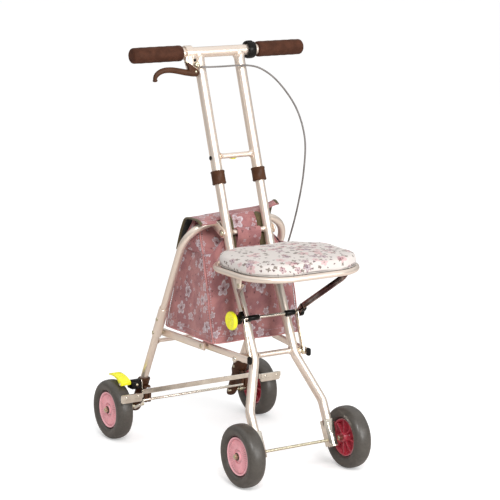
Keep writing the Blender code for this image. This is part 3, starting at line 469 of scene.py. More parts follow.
class Finish:
    """A material in the making, whose patterns read one place: Object coordinates, or a cloth's own map."""

    def __init__(self, name, cloth=False, **sockets):
        self.mat = bpy.data.materials.new("walker_" + name)
        self.mat.use_nodes = True
        self.shader = self.mat.node_tree.nodes["Principled BSDF"]
        for key, value in sockets.items():
            self.shader.inputs[key.replace("_", " ")].default_value = value
        self.here = (self.add("ShaderNodeUVMap", uv_map="Cloth").outputs["UV"] if cloth
                     else self.add("ShaderNodeTexCoord").outputs["Object"])

    def add(self, kind, *feeds, **values):
        return add_node(self.mat.node_tree, kind, *feeds, **values)

    def calc(self, operation, *values):
        return self.add("ShaderNodeMath", *values, operation=operation).outputs[0]

    def vector(self, operation, *values):
        return self.add("ShaderNodeVectorMath", *values, operation=operation)

    def noise(self, scale, detail=4.0, rough=0.5, warp=0.0):
        return self.add("ShaderNodeTexNoise", Vector=self.here, Scale=scale, Detail=detail, Roughness=rough,
                        Distortion=warp).outputs["Fac"]

    def span(self, value, low, high, to_low=0.0, to_high=1.0):
        return self.add("ShaderNodeMapRange", interpolation_type="SMOOTHSTEP", Value=value, From_Min=low,
                        From_Max=high, To_Min=to_low, To_Max=to_high).outputs["Result"]

    def patch(self, scale, detail, low, high, to_low=0.0, to_high=1.0):
        """Soft patches of noise between two limits."""
        return self.span(self.noise(scale, detail), low, high, to_low, to_high)

    def mix(self, fac, a, b):
        node = self.add("ShaderNodeMix", fac, data_type="RGBA")
        for k, value in ((6, a), (7, b)):
            feed(self.mat.node_tree, node.inputs[k], value)
        return node.outputs[2]

    def stamp(self, ground, *rows):
        """Lay tints over the ground, each through its mask and with its strength."""
        for mask, strength, tint in rows:
            ground = self.mix(self.calc("MULTIPLY", mask, strength), ground, tint)
        return ground

    def bump(self, height, distance, strength, **under):
        return self.add("ShaderNodeBump", Strength=strength, Distance=distance, Height=height, **under)

    def done(self, base, rough, relief):
        for key, value in (("Base Color", base), ("Roughness", rough), ("Normal", relief)):
            if value:
                feed(self.mat.node_tree, self.shader.inputs[key], value)
        return self.mat


FINISHES = {}


def once(make):
    """A finish is made the first time a piece asks for it."""
    def get():
        if make.__name__ not in FINISHES:
            FINISHES[make.__name__] = make()
        return FINISHES[make.__name__]
    return get


@once
def champagne_paint():
    c = tones()
    f = Finish("champagne_paint", Metallic=0.74, Coat_Weight=0.20, Coat_Roughness=0.10)
    tone = f.mix(f.patch(14, 3, 0.35, 0.68), c.paint, f.mix(0.45, c.paint, c.paint_deep))
    tone = f.mix(f.patch(5200, 2, 0.60, 0.78, 0, 0.25), tone, shade(c.paint, 1.08))
    return f.done(tone, f.patch(38, 5, 0.3, 0.75, 0.28, 0.36), f.bump(f.noise(900, 2), 0.000008, 0.5))


def plated(name, cloud, light, dark, gloss, grain, depth, strength):
    """Bright metal with soft clouds in its tone and its gloss."""
    f = Finish(name, Metallic=1.0)
    return f.done(f.mix(f.patch(*cloud), light, dark), f.span(f.noise(*gloss[0]), *gloss[1:]),
                  f.bump(f.noise(grain, 2), depth, strength))


@once
def chrome():
    return plated("chrome", (45, 3, 0.3, 0.7), (0.95, 0.90, 0.80), (0.78, 0.72, 0.62),
                  ((130, 6, 0.65), 0.35, 0.75, 0.07, 0.20), 900, 0.00003, 0.4)


# Chrome of the struts with painted reflection: clouds of dark plum-brown and beige in its tone stand in for the shade
# and the bag mirrored in it
@once
def reflection_painted_chrome():
    return plated("reflection_painted_chrome", (28, 2, 0.40, 0.66), (0.17, 0.085, 0.080), (0.62, 0.52, 0.47),
                  ((130, 6, 0.65), 0.35, 0.75, 0.08, 0.20), 900, 0.00003, 0.4)


@once
def zinc_steel():
    return plated("zinc_steel", (160, 4, 0.3, 0.7), (0.74, 0.68, 0.50), (0.56, 0.51, 0.38),
                  ((420, 5), 0.3, 0.75, 0.22, 0.42), 1500, 0.00004, 0.5)


def moulded(name, tone, low, high, grain, depth, cloud=0.74, **more):
    """Moulded plastic: a fine spark grain, faint flow clouds and handled patches."""
    f = Finish(name, **more)
    tint = f.mix(f.patch(55, 4, 0.32, 0.70), tone, shade(tone, cloud))
    tint = f.mix(f.patch(900, 2, 0.62, 0.80, 0, 0.30), tint, shade(tone, 1.7))
    cells = f.add("ShaderNodeTexVoronoi", Vector=f.here, Scale=1 / grain).outputs["Distance"]
    under = f.bump(cells, depth, 0.6)
    return f.done(tint, f.patch(90, 5, 0.3, 0.75, low, high),
                  f.bump(f.noise(260, 3), depth * 1.5, 0.35, Normal=under))


@once
def brown_plastic():
    return moulded("brown_plastic", tones().brown, 0.36, 0.54, 0.0007, 0.00006, Specular_IOR_Level=0.20)


@once
def black_plastic():
    return moulded("black_plastic", (0.010, 0.009, 0.008), 0.20, 0.32, 0.0008, 0.00004, Specular_IOR_Level=0.16)


@once
def yellow_plastic():
    return moulded("yellow_plastic", tones().yellow, 0.24, 0.38, 0.0012, 0.00003, 0.94, Coat_Weight=0.20,
                   Subsurface_Weight=0.05)


@once
def pink_hub():
    return moulded("pink_hub", tones().hub, 0.24, 0.38, 0.0010, 0.00004, 0.90, Coat_Weight=0.3, Coat_Roughness=0.15)


# A darker pink for the grooves and the sunken field of the wheel face: painted shade in its hollows
@once
def shaded_pink_field():
    return moulded("shaded_pink_field", shade(tones().hub, 0.80), 0.30, 0.44, 0.0010, 0.00004)


@once
def red_hub():
    return moulded("red_hub", tones().hub_deep, 0.22, 0.36, 0.0010, 0.00004, Coat_Weight=0.4, Coat_Roughness=0.12)


@once
def dark_steel():
    return moulded("dark_steel", (0.10, 0.075, 0.05), 0.25, 0.40, 0.0010, 0.00003, Metallic=0.8)


@once
def cable_sheath():
    return moulded("cable_sheath", (0.21, 0.19, 0.18), 0.30, 0.44, 0.0009, 0.00003, Coat_Weight=0.2)


@once
def brown_grip():
    c = tones()
    f = Finish("brown_grip", Specular_IOR_Level=0.12)
    # Pores of the foam: the mask sinks them in the bump and darkens their colour, painted shade in the pores
    pit = f.span(f.add("ShaderNodeTexVoronoi", Vector=f.here, Scale=1250.0).outputs["Distance"], 0.12, 0.5)
    tone = f.mix(pit, shade(c.foam, 0.45), f.mix(f.patch(70, 5, 0.3, 0.7), c.foam, shade(c.foam, 0.66)))
    return f.done(tone, f.patch(180, 4, 0.3, 0.7, 0.55, 0.72),
                  f.bump(pit, 0.00012, 0.55, Normal=f.bump(f.noise(140, 3), 0.0006, 0.35)))


@once
def grey_tyre():
    c = tones()
    f = Finish("grey_tyre", Specular_IOR_Level=0.5, Coat_Weight=0.12, Coat_Roughness=0.22)
    dust = f.span(f.noise(48, 6, 0.62), 0.45, 0.78, 0, 0.55)
    tone = f.mix(dust, f.mix(f.patch(320, 4, 0.3, 0.7), c.tyre, shade(c.tyre, 0.80)), shade(c.tyre, 1.45))
    return f.done(tone, f.patch(75, 5, 0.3, 0.75, 0.34, 0.48), f.bump(f.noise(1700, 4), 0.00005, 0.5))


# ---- Printed cloth


def blossoms(f, cell, radius, petals, notch, present, turn=0.0, soft=0.0):
    """Masks of flowers scattered on cells: the whole flower, its rim, its eye and a random value."""
    moved = f.add("ShaderNodeMapping", Vector=f.here, Scale=(1 / cell,) * 3, Rotation=(0.0, 0.0, turn))
    cells = f.add("ShaderNodeTexVoronoi", voronoi_dimensions="2D", Vector=moved, Scale=1.0, Randomness=0.72)
    away = f.vector("SUBTRACT", moved, cells.outputs["Position"])
    if soft:
        shake = f.add("ShaderNodeTexNoise", Vector=f.here, Scale=2.2 / cell, Detail=2.0).outputs["Color"]
        uneven = f.vector("MULTIPLY_ADD", shake, (soft, soft, 0.0), away)
        away = f.vector("SUBTRACT", uneven, (soft / 2, soft / 2, 0.0))
    x, y, _ = f.add("ShaderNodeSeparateXYZ", Vector=away).outputs
    turned, grown, kept = f.add("ShaderNodeSeparateColor", Color=cells.outputs["Color"]).outputs
    angle = f.calc("ADD", f.calc("ARCTAN2", y, x), f.calc("MULTIPLY", turned, 6.28))
    wave = f.calc("ABSOLUTE", f.calc("COSINE", f.calc("MULTIPLY", angle, petals / 2)))
    edge = f.calc("MULTIPLY", f.calc("MULTIPLY_ADD", wave, radius * notch, radius * (1 - notch)),
                  f.calc("MULTIPLY_ADD", grown, 0.5, 0.7))
    here = f.calc("GREATER_THAN", kept, present)
    far = f.calc("DIVIDE", f.vector("LENGTH", away).outputs["Value"], edge)
    whole = f.calc("MULTIPLY", f.span(far, 1.05, 0.90), here)
    rim = f.calc("MULTIPLY", f.calc("MULTIPLY", f.span(far, 0.62, 0.80), f.span(far, 1.08, 0.96)), here)
    return whole, rim, f.calc("MULTIPLY", f.span(far, 0.34, 0.22), here), grown


def weave(f, pitch, depth):
    """Relief of a plain weave, threads crossing at the pitch."""
    across, along = (f.add("ShaderNodeTexWave", bands_direction=way, Vector=f.here, Scale=0.31416 / pitch,
                           Distortion=0.4, Detail=1.0).outputs["Fac"] for way in "XY")
    return f.bump(f.calc("ADD", across, along), depth, 0.6)


@once
def rose_print():
    c = tones()
    f = Finish("rose_print", cloth=True, Sheen_Weight=0.18, Sheen_Roughness=0.45, Specular_IOR_Level=0.45)
    ground = f.mix(f.span(f.noise(22, 4, 0.55, 0.6), 0.38, 0.62), c.rose_deep, c.rose)
    ground = f.mix(f.patch(9, 2, 0.5, 0.75, 0, 0.45), ground, shade(c.rose, 1.45))
    stems = f.noise(85, 1, 0.4, 2.2)
    line = f.calc("MULTIPLY", f.span(stems, 0.485, 0.50), f.span(stems, 0.515, 0.50))
    line = f.calc("MULTIPLY", line, f.patch(30, 1, 0.52, 0.60))
    specks = blossoms(f, 0.017, 0.16, 3, 0.7, 0.55, 0.9)
    small = blossoms(f, 0.019, 0.25, 4, 0.6, 0.42, 0.5, 0.30)
    middle = blossoms(f, 0.033, 0.25, 5, 0.5, 0.50, 1.4, 0.22)
    large = blossoms(f, 0.056, 0.26, 5, 0.48, 0.42, 0.0, 0.16)
    ground = f.stamp(
        ground, (line, 0.75, shade(c.rose_deep, 0.45)), (specks[0], 0.8, shade(c.rose_deep, 0.4)),
        (small[0], 0.55, shade(c.petal, 0.85)), (small[2], 1.0, c.rose_deep),
        (middle[0], 0.45, shade(c.petal, 0.75)), (middle[1], 0.65, c.petal),
        (large[0], 0.45, shade(c.petal, 0.66)), (large[1], f.patch(260, 2, 0.35, 0.62, 0.35, 0.85), c.petal),
        (large[2], 1.0, shade(c.rose_deep, 0.6)))
    return f.done(ground, f.patch(160, 4, 0.3, 0.7, 0.50, 0.68), weave(f, 0.0007, 0.00012))


@once
def cotton_print():
    c = tones()
    f = Finish("cotton_print", cloth=True, Sheen_Weight=0.15, Sheen_Roughness=0.5, Specular_IOR_Level=0.3)
    ground = f.mix(f.patch(12, 3, 0.4, 0.7), c.cotton, shade(c.cotton, 0.95))
    washes = blossoms(f, 0.034, 0.31, 5, 0.45, 0.42, 1.2, 0.3)
    buds = blossoms(f, 0.0150, 0.20, 3, 0.6, 0.48, 0.7, 0.3)
    leaves = blossoms(f, 0.0200, 0.27, 4, 0.6, 0.42, 1.9, 0.3)
    sprigs = blossoms(f, 0.0270, 0.33, 5, 0.5, 0.40, 0.3, 0.22)
    ground = f.stamp(
        ground, (washes[0], 0.42, shade(c.sprig, 1.30)), (washes[2], 0.7, (0.26, 0.20, 0.16)),
        (buds[0], 0.90, (0.11, 0.055, 0.055)), (leaves[0], 0.85, (0.17, 0.13, 0.10)),
        (sprigs[0], 0.50, f.mix(sprigs[3], c.sprig, (0.33, 0.27, 0.34))),
        (sprigs[1], 0.55, shade(c.sprig, 0.55)), (sprigs[2], 0.9, (0.14, 0.05, 0.08)))
    return f.done(ground, f.patch(160, 4, 0.3, 0.7, 0.62, 0.80), weave(f, 0.0006, 0.00010))


def woven(name, tone, pitch):
    """Plain cloth, tape, cord or thread of one tone."""
    f = Finish(name, Sheen_Weight=0.2, Sheen_Roughness=0.5)
    tint = f.mix(f.patch(60, 5, 0.3, 0.7), tone, shade(tone, 0.68))
    tint = f.mix(f.patch(1400, 2, 0.55, 0.75, 0, 0.4), tint, shade(tone, 1.6))
    return f.done(tint, f.patch(240, 4, 0.3, 0.7, 0.68, 0.86), weave(f, pitch, 0.00014))


@once
def olive_tape():
    return woven("olive_tape", tones().tape, 0.0008)


@once
def dark_lining():
    return woven("dark_lining", (0.020, 0.017, 0.014), 0.0007)


@once
def rose_cord():
    return woven("rose_cord", shade(tones().rose, 1.45), 0.0006)


@once
def rose_thread():
    return woven("rose_thread", shade(tones().petal, 0.9), 0.0004)


@once
def cloth_cord():
    return woven("cloth_cord", shade(tones().cotton, 0.92), 0.0006)


@once
def cotton_thread():
    return woven("cotton_thread", shade(tones().cotton, 0.9), 0.0004)


# ---- Geometry Nodes for what repeats


class Growth:
    """A Geometry Nodes tree with named inputs, run on a mesh to make one plain piece."""

    def __init__(self, name, mesh, **inputs):
        self.holder = new_object(name, mesh)
        self.tree = bpy.data.node_groups.new(name, "GeometryNodeTree")
        face, self.values = self.tree.interface, {}
        face.new_socket("Geometry", in_out="INPUT", socket_type="NodeSocketGeometry")
        for label, value in inputs.items():
            kind = "NodeSocketInt" if isinstance(value, int) else "NodeSocketFloat"
            socket = face.new_socket(label, in_out="INPUT", socket_type=kind)
            socket.default_value = value
            self.values[socket.identifier] = value
        face.new_socket("Geometry", in_out="OUTPUT", socket_type="NodeSocketGeometry")
        self.into = self.add("NodeGroupInput").outputs

    def add(self, kind, *feeds, **values):
        return add_node(self.tree, kind, *feeds, **values)

    def calc(self, operation, *values):
        return self.add("ShaderNodeMath", *values, operation=operation)

    def run(self, geometry, mat, angle=None):
        """Close the tree, run it and keep the result at the origin."""
        real = self.add("GeometryNodeRealizeInstances", Geometry=geometry)
        smooth = self.add("GeometryNodeSetShadeSmooth", Geometry=real)
        self.add("NodeGroupOutput", self.add("GeometryNodeSetMaterial", Geometry=smooth, Material=mat))
        mod = self.holder.modifiers.new("repeat", "NODES")
        mod.node_group = self.tree
        for key, value in self.values.items():
            mod[key] = value
        if not result_of(self.holder).polygons:
            raise RuntimeError(self.holder.name + " came out empty")
        return crease(self.holder, angle) if angle else self.holder


def stitches(name, lines, mat, closed=False, pitch=None, thread=None):
    """A row of stitches along each line: short rounded threads laid end to end."""
    verts, edges = [], []
    for line in lines:
        first = len(verts)
        verts += [tuple(p * MM) for p in line]
        edges += [(k, k + 1) for k in range(first, len(verts) - 1)]
        if closed:
            edges.append((len(verts) - 1, first))
    mesh = bpy.data.meshes.new(name)
    mesh.from_pydata(verts, edges, [])
    g = Growth(name, mesh, Pitch=pitch * MM if pitch else sizes().stitch,
               Thread=thread * MM if thread else sizes().thread)
    curve = g.add("GeometryNodeMeshToCurve", Mesh=g.into["Geometry"])
    dots = g.add("GeometryNodeCurveToPoints", mode="LENGTH", Curve=curve, Length=g.into["Pitch"]).outputs
    size = g.add("ShaderNodeCombineXYZ", g.into["Thread"], g.into["Thread"],
                 g.calc("MULTIPLY", g.into["Pitch"], 0.34))
    bead = g.add("GeometryNodeMeshUVSphere", Segments=6, Rings=5, Radius=1.0)
    return g.run(g.add("GeometryNodeInstanceOnPoints", Points=dots["Points"], Instance=bead,
                       Rotation=dots["Rotation"], Scale=size), mat)


def studs(name, places, mat, radius, height, sides=16, flat=False):
    """Rivet or bolt heads at (point, outward direction) places."""
    mesh = bpy.data.meshes.new(name)
    mesh.from_pydata([tuple(p * MM) for p, way in places], [], [])
    facing = mesh.attributes.new("facing", "FLOAT_VECTOR", "POINT")
    for k, (p, way) in enumerate(places):
        facing.data[k].vector = Vector(way).normalized()
    g = Growth(name, mesh, Radius=radius * MM, Height=height * MM, Sides=sides)
    want = g.add("GeometryNodeInputNamedAttribute", data_type="FLOAT_VECTOR", Name="facing")
    turned = g.add("FunctionNodeAlignRotationToVector", axis="Z", Vector=want)
    size = g.add("ShaderNodeCombineXYZ", g.into["Radius"], g.into["Radius"], g.into["Height"])
    if flat:
        shape = g.add("GeometryNodeMeshCylinder", Vertices=g.into["Sides"], Radius=1.0, Depth=2.0)
    else:
        shape = g.add("GeometryNodeMeshUVSphere", Segments=g.into["Sides"], Rings=10, Radius=1.0)
    return g.run(g.add("GeometryNodeInstanceOnPoints", Points=g.into["Geometry"], Instance=shape,
                       Rotation=turned, Scale=size), mat, 40)


def spokes(name, centre, axis, count, inner, outer, width, depth, mat):
    """Radial bars round an axis along X: ribs of a wheel face or webs of its back."""
    mesh = bpy.data.meshes.new(name)
    mesh.from_pydata([(0, 0, 0)], [], [])
    g = Growth(name, mesh, Count=count, Inner=inner * MM, Outer=outer * MM, Width=width * MM, Depth=depth * MM)
    run = g.calc("SUBTRACT", g.into["Outer"], g.into["Inner"])
    half = g.calc("MULTIPLY", g.calc("ADD", g.into["Outer"], g.into["Inner"]), 0.5)
    size = g.add("ShaderNodeCombineXYZ", run, g.into["Width"], g.into["Depth"])
    bar = g.add("GeometryNodeTransform", Geometry=g.add("GeometryNodeMeshCube", Size=(1.0, 1.0, 1.0)),
                Translation=g.add("ShaderNodeCombineXYZ", half), Scale=size)
    place = g.add("GeometryNodeInputPosition")
    keep = g.add("GeometryNodeCaptureAttribute", g.add("GeometryNodeMeshCircle", Vertices=g.into["Count"], Radius=1.0))
    keep.capture_items.new("ROTATION", "Turn")
    turn = g.add("FunctionNodeAlignRotationToVector", axis="X", Vector=place)
    g.tree.links.new(turn.outputs[0], keep.inputs[1])
    zero = g.add("ShaderNodeVectorMath", operation="SCALE", Vector=place, Scale=0.0)
    middle = g.add("GeometryNodeSetPosition", Geometry=keep, Position=zero)
    obj = g.run(g.add("GeometryNodeInstanceOnPoints", Points=middle, Instance=bar, Rotation=keep.outputs[1]), mat, 35)
    turn_to = Vector((0, 0, 1)).rotation_difference(axis).to_matrix().to_4x4()
    obj.data.transform(Matrix.Translation(centre * MM) @ turn_to)
    return obj


# ---- Tubes, brackets and rivets


def flare(name, foot, along, slim, wide, run, mat):
    """The weld round the foot of a crossbar, hollow-sided like a real fillet."""
    return pipe(name, [foot + along * (run * k / 6) for k in range(7)],
                [slim + (wide - slim) * (1 - k / 6) ** 2.6 for k in range(7)], mat, 28)


def rung(name, x, weld_x, y, z, radius, weld, run, mat, sides=28):
    """A crossbar with a weld at each end."""
    return [pipe(name, [at(-x, y, z), at(x, y, z)], radius, mat, sides)] + [
        flare("weld", at(s * weld_x, y, z), -out, radius, weld, run, mat) for _, s, out in SIDES]


def link_bar(name, a, b, x, width, thick, mat):
    """A flat bar with round ends between two (y, z) points, centred on x."""
    start, end = at(0, *a), at(0, *b)
    along, half = (end - start).normalized(), width / 2
    outline = [(far + half * math.cos(turn + math.pi * k / 12), half * math.sin(turn + math.pi * k / 12))
               for far, turn in ((0, math.pi / 2), ((end - start).length, -math.pi / 2)) for k in range(13)]
    return plate(name, outline, start + Vector((x - thick / 2, 0, 0)), along, Vector((1, 0, 0)).cross(along),
                 thick, mat, 0.5)


def washer_and_nut(face, out):
    """The dark washer and the nut that hold a wheel on its axle."""
    return [spin("washer", [(3, 0), (7.8, 0), (8.1, 0.6), (3, 0.9)], face, out, dark_steel(), 32),
            studs("nut", [(face + out * 2.6, out)], zinc_steel(), 6.2, 2, 6, flat=True)]


def build_main_frame():
    """The two front tubes with their crossbars, ears, foot brackets and pivot bolts."""
    paint, steel, plating = champagne_paint(), zinc_steel(), chrome()
    inner, outer = 9.8, 11.8
    channel = [(-outer, -10), (-inner, -10), (-inner, 6), (-6, inner), (6, inner), (inner, 6), (inner, -10),
               (outer, -10), (outer, 7), (7, outer), (-7, outer), (-outer, 7)]
    axle = [pipe("axle_rod", [at(-145.7, 0, WHEEL_R), at(145.7, 0, WHEEL_R)], 3, steel, 24, ends=0.8)]
    pivot = rung("pivot_rung", 38.2, 38.4, *PIVOT, 5, 7, 5, paint)
    pivot.append(pipe("pivot_bolt", [at(-62.4, *PIVOT), at(62.4, *PIVOT)], 3.4, steel, 20))
    brace_x = 70 + 14 * (EAR_PIN[0] - BRACE_FRONT[0]) / (BRACE_MID[0] - BRACE_FRONT[0])
    for side, s, out in SIDES:
        line = round_line([on_upper(s * TUBE_X, 660), on_upper(s * TUBE_X, 391.8), on_lower(s * TUBE_X, 229),
                           on_lower(s * FOOT_X, 137), on_lower(s * FOOT_X, 50)], [0, 70, 40, 40, 0], 10)
        dress(pipe("front_tube_" + side, line, 9.5, paint, 40), "main_frame", "champagne_paint",
              "main_tube_" + side)
        hub = at(s * (FOOT_X + outer), 0, WHEEL_R)
        foot = [plate("foot_channel", channel, on_lower(s * FOOT_X, 100), (1, 0, 0), FRONT, 48 / -DOWN.z, plating, 0.5),
                spin("foot_washer", [(3.2, 0), (7.5, 0), (7.8, 0.8), (3.2, 1.2)], hub, out, steel, 32),
                spin("foot_spacer", [(3.3, 0), (5.5, 0), (5.5, 10), (3.3, 10)], hub + out * 1.2, out, steel, 32)]
        join("front_foot_" + side, foot, "main_frame", "chrome", "front_bracket_" + side)
        ear = [link_bar("ear_plate", (84, 233.5), EAR_PIN, s * 59.3, 18, 3, plating),
               pipe("ear_pin", [at(s * 58.8, *EAR_PIN), at(s * (brace_x + 4.5), *EAR_PIN)], 3.5, plating, 20),
               studs("ear_heads", [(at(s * (brace_x + 4.3), *EAR_PIN), out)], plating, 6.2, 3, 24)]
        join("brace_ear_plate_" + side, ear, "main_frame", "chrome", "brace_ear_" + side)
        axle += washer_and_nut(at(s * 138.7, 0, WHEEL_R), out)
        pivot.append(spin("pivot_washer", [(3.6, 0), (7.6, 0), (8, 0.6), (3.6, 1)], at(s * 61.3, *PIVOT), out,
                          plating, 36))
        pivot.append(studs("pivot_heads", [(at(s * 62.3, *PIVOT), out)], steel, 5.6, 3.6, 28))
    join("front_axle_rod", axle, "main_frame", "zinc_steel", "front_axle")
    join("lower_rung", rung("low_rung", 38.7, 38.7, 85, 236, 5.8, 8.2, 6, paint), "main_frame", "champagne_paint",
         "lower_crossbar")
    join("pivot_crossbar", pivot, "main_frame", "champagne_paint", "pivot_shaft")


def oval(width, height, steps=10):
    """Points of an upright oval section for pipe()."""
    flat = height / 2 - width / 2
    turns = [math.tau * (k + 0.5) / (steps * 2) for k in range(steps * 2)]
    return [(width / 2 * math.cos(a), width / 2 * math.sin(a) + math.copysign(flat, math.sin(a))) for a in turns]


def build_braces():
    """The folding side braces with their caps and rivets."""
    paint, lap, step_x = champagne_paint(), 8.5, 93
    slope = (105.8 - step_x) / (BRACE_REAR[0] - BRACE_MID[0])
    for side, s, out in SIDES:
        line = [at(s * 70, *BRACE_FRONT), at(s * (84 + 0.0972 * lap), BRACE_MID[0] + lap, 237.2)]
        dress(ease(pipe("brace_front", line, lambda t: oval(7, 15), paint), 0.5, 50), "front_braces",
              "champagne_paint", "front_brace_" + side)
        line = [at(s * (step_x - slope * lap), BRACE_MID[0] - lap, 236.8),
                at(s * (105.8 + slope * lap), BRACE_REAR[0] + lap, 240.2)]
        bar = [ease(pipe("brace_rear", line, lambda t: oval(7, 17), paint), 0.5, 50),
               studs("mid_rivet", [(at(s * (step_x + 3.4), *BRACE_MID), out)], zinc_steel(), 4.6, 2.2, 20)]
        join("rear_brace_bar_" + side, bar, "rear_braces", "champagne_paint", "rear_brace_" + side)
        line = [at(s * 70, BRACE_FRONT[0] + d, BRACE_FRONT[1]) for d in (-0.3, -2, -4.6, -6, -6.6)]
        cap = pipe("brace_end_" + side, line, lambda t: oval(8.6 * (1 - 0.35 * max(0, t - 0.5)),
                                                             16.6 * (1 - 0.22 * max(0, t - 0.5))), black_plastic())
        dress(cap, "front_braces", "black_plastic", "brace_cap_" + side)


def build_rear_frame():
    """The inverted U with its rung, hooks, sleeves and axles."""
    paint, steel = champagne_paint(), zinc_steel()
    line = round_line([on_leg(-1, 62), on_leg(-1, 488), on_leg(1, 488), on_leg(1, 62)], [0, 62, 62, 0], 16)
    legs = [pipe("legs", line, 8, paint, 36)] + rung("rear_rung", 112.5, 113, 358.9, 220, 4.5, 6.8, 6, paint, 24)
    for side, s, out in SIDES:
        legs.append(link_bar("hook_plate", PIVOT, (218, 488), s * 59.6, 19, 3, paint))
        legs.append(flare("hook_weld", at(s * 58, 218, 488), -out, 8.1, 9.5, 5, paint))
        low = on_leg(s, 235)
        run, head = (on_leg(s, 299) - low).length, at(s * 101.3, *BRACE_REAR)
        places = [(head, -out)]
        for z in (273, 242):
            places += [(on_leg(s, z, 9.8), out), (on_leg(s, z) + Vector((0, 9.8, 5.2)), (0, 1, 0.526))]
        band = [spin("band", sleeve(8.3, 10.3, run), low, LEG, paint, 40),
                pipe("band_pin", [at(s * 111.2, *BRACE_REAR), head], 3.5, steel, 20),
                studs("band_heads", places, steel, 4, 2.4, 20)]
        join("leg_band_" + side, band, "rear_frame", "champagne_paint", "leg_sleeve_" + side)
        stub = [pipe("stub", [at(s * 106.5, *REAR_AXLE), at(s * 201.1, *REAR_AXLE)], 3, steel, 24, ends=0.8),
                spin("stub_spacer", [(3.3, 0), (6, 0), (6, 26), (3.3, 26)], at(s * (REAR_X + 13.5), *REAR_AXLE), out,
                     steel, 32)] + washer_and_nut(at(s * 194.1, *REAR_AXLE), out)
        join("rear_stub_" + side, stub, "rear_frame", "zinc_steel", "rear_axle_" + side)
    join("rear_legs", legs, "rear_frame", "champagne_paint", "rear_tube")


# The wheel's profile as (radius, offset): its pink face, rim and red back
FACE = ((3.4, 13.2), (8, 13.2), (9.2, 12.4), (9.8, 9.8), (12.5, 9.2), (13.5, 10), (14.4, 9.2), (32.5, 9.8),
        (33.4, 9.2), (34.4, 10), (35.2, 12.6), (36, 13.4), (37.6, 13.4), (38.4, 12.6), (38.4, -10.8), (37.8, -11.7),
        (35.8, -11.7), (35, -10.8), (33.4, -4), (32.2, -3), (11.2, -3), (10.2, -4.5), (9.6, -13.8), (8.8, -14.7),
        (3.4, -14.7))


def build_wheels():
    """Four wheels: a grooved solid tyre, a fluted pink face and a red webbed back."""
    pink, field, red, user = pink_hub(), shaded_pink_field(), red_hub(), sizes()
    mid, deep = (WHEEL_R + HUB_R + 0.3) / 2, (WHEEL_R - HUB_R - 0.3) / 2
    tyre = []
    for k in range(44):
        a = math.tau * (k + 0.5) / 44
        c, q = math.cos(a), math.sin(a)
        slant = math.degrees(math.atan2(abs(q), c))
        dip = sum(0.022 * math.exp(-((slant - d) / 3.5) ** 2) for d in (46, 62))
        tyre.append((mid + deep * math.copysign(abs(c) ** 0.8, c) * (1 - dip),
                     TYRE_W / 2 * math.copysign(abs(q) ** 0.8, q) * (1 - dip)))
    for name, s, x, y in WHEELS:
        centre, out, body = at(s * x, y, WHEEL_R), Vector((s, 0, 0)), "wheel_" + name
        dress(spin("tyre_ring_" + name, tyre, centre, out, grey_tyre(), 96, angle=60), body, "grey_tyre",
              "tyre_" + name)
        # Faces 3, 6, 8 and 9 of the profile, the grooves and the sunken field, take the darker pink of painted shade;
        # the back takes red
        disc = [spin("disc", FACE, centre, out, (pink, red, field), 96,
                     mat_of=lambda k: 1 if k >= 15 else 2 if k in (3, 6, 8, 9) else 0),
                spokes("flutes", centre + out * 9.8, out, user.hub_flutes, 15, 32.2, 1.9, 3.2, pink),
                spokes("webs", centre - out * 6.6, out, user.hub_spokes, 9, 34, 2.2, 8.2, red)]
        join("wheel_disc_" + name, disc, body, "pink_hub", "hub_" + name)


# ---- Seat, struts and release knob


RING_X, RING_FRONT, RING_CORNER, SEAT_MID = 129, -71, 77, 38.5
# The pad's rear edge, before the saddles
PAD_REAR = HINGE[0] - 12.5
# The pad's side from foot to top: how far it lies inside the hoop's line, and its height
CUSHION_SIDE = ((13, 421.6), (10.4, 421.6), (9.2, 423.2), (8, 425.6), (4.6, 427.6), (0, 429.2), (-2.2, 432.5),
                (-3.2, 437), (-3.4, 442.5), (-2.4, 446.4), (0.6, 449), (5.8, 450.2), (16, 450.6))


def plan(inset, rear, steps):
    """The seat's rounded outline, drawn in by the inset."""
    x, y = RING_X - inset, RING_FRONT + inset
    return round_line([(-x, y, 0), (x, y, 0), (x, rear, 0), (-x, rear, 0)], [RING_CORNER - inset] * 4, steps)


def hoop_line():
    return [at(p.x, p.y, HINGE[1]) for p in plan(0, HINGE[0], 18)]


def build_seat_frame():
    """The hoop of the seat with its lugs, base panel and the saddles that hold it."""
    paint, dark, steel = champagne_paint(), black_plastic(), zinc_steel()
    hoop = [pipe("hoop", hoop_line(), 6, paint, 28, closed=True)]
    for side, s, out in SIDES:
        y, z = LUG_PIN
        hoop += [side_plate("lug", [(-5.5, -3.5), (-3, -6), (3, -6), (5.5, -3.5), (9, 15), (-9, 15)],
                            s * 129.5 - 1.5, 3, paint, 0.4, LUG_PIN),
                 pipe("lug_pin", [at(s * 129, y, z), at(s * 121, y, z)], 3, steel, 20),
                 studs("lug_heads", [(at(s * 121.2, y, z), -out), (at(s * 130.8, y, z), out)], steel, 4.8, 2, 20)]
        y, z = HINGE
        block = [(-9.5, -6), (-6, -9.5), (14, -10.5), (17.5, -8), (18, 8), (15, 10.5), (-6, 9.5), (-9.5, 6)]
        saddle = [side_plate("saddle", block, s * TUBE_X - 8, 16, dark, 1.2, HINGE),
                  studs("saddle_screws", [(at(s * 56.2, y + 10, z), out)], steel, 3.4, 1.6, 16)]
        join("ring_saddle_" + side, saddle, "main_frame", "black_plastic", "seat_saddle_" + side)
    join("seat_hoop", hoop, "seat", "champagne_paint", "seat_ring")
    rings = [[at(p.x * k, SEAT_MID + (p.y - SEAT_MID) * k, z) for p in resample(plan(6.6, PAD_REAR, 14), 96)]
             for k, z in ((0.98, 418.1), (1, 418.6), (1, 420.6), (0.99, 420.9))]
    dress(mesh_piece("seat_panel", *loft(rings), dark), "seat", "black_plastic", "seat_base")


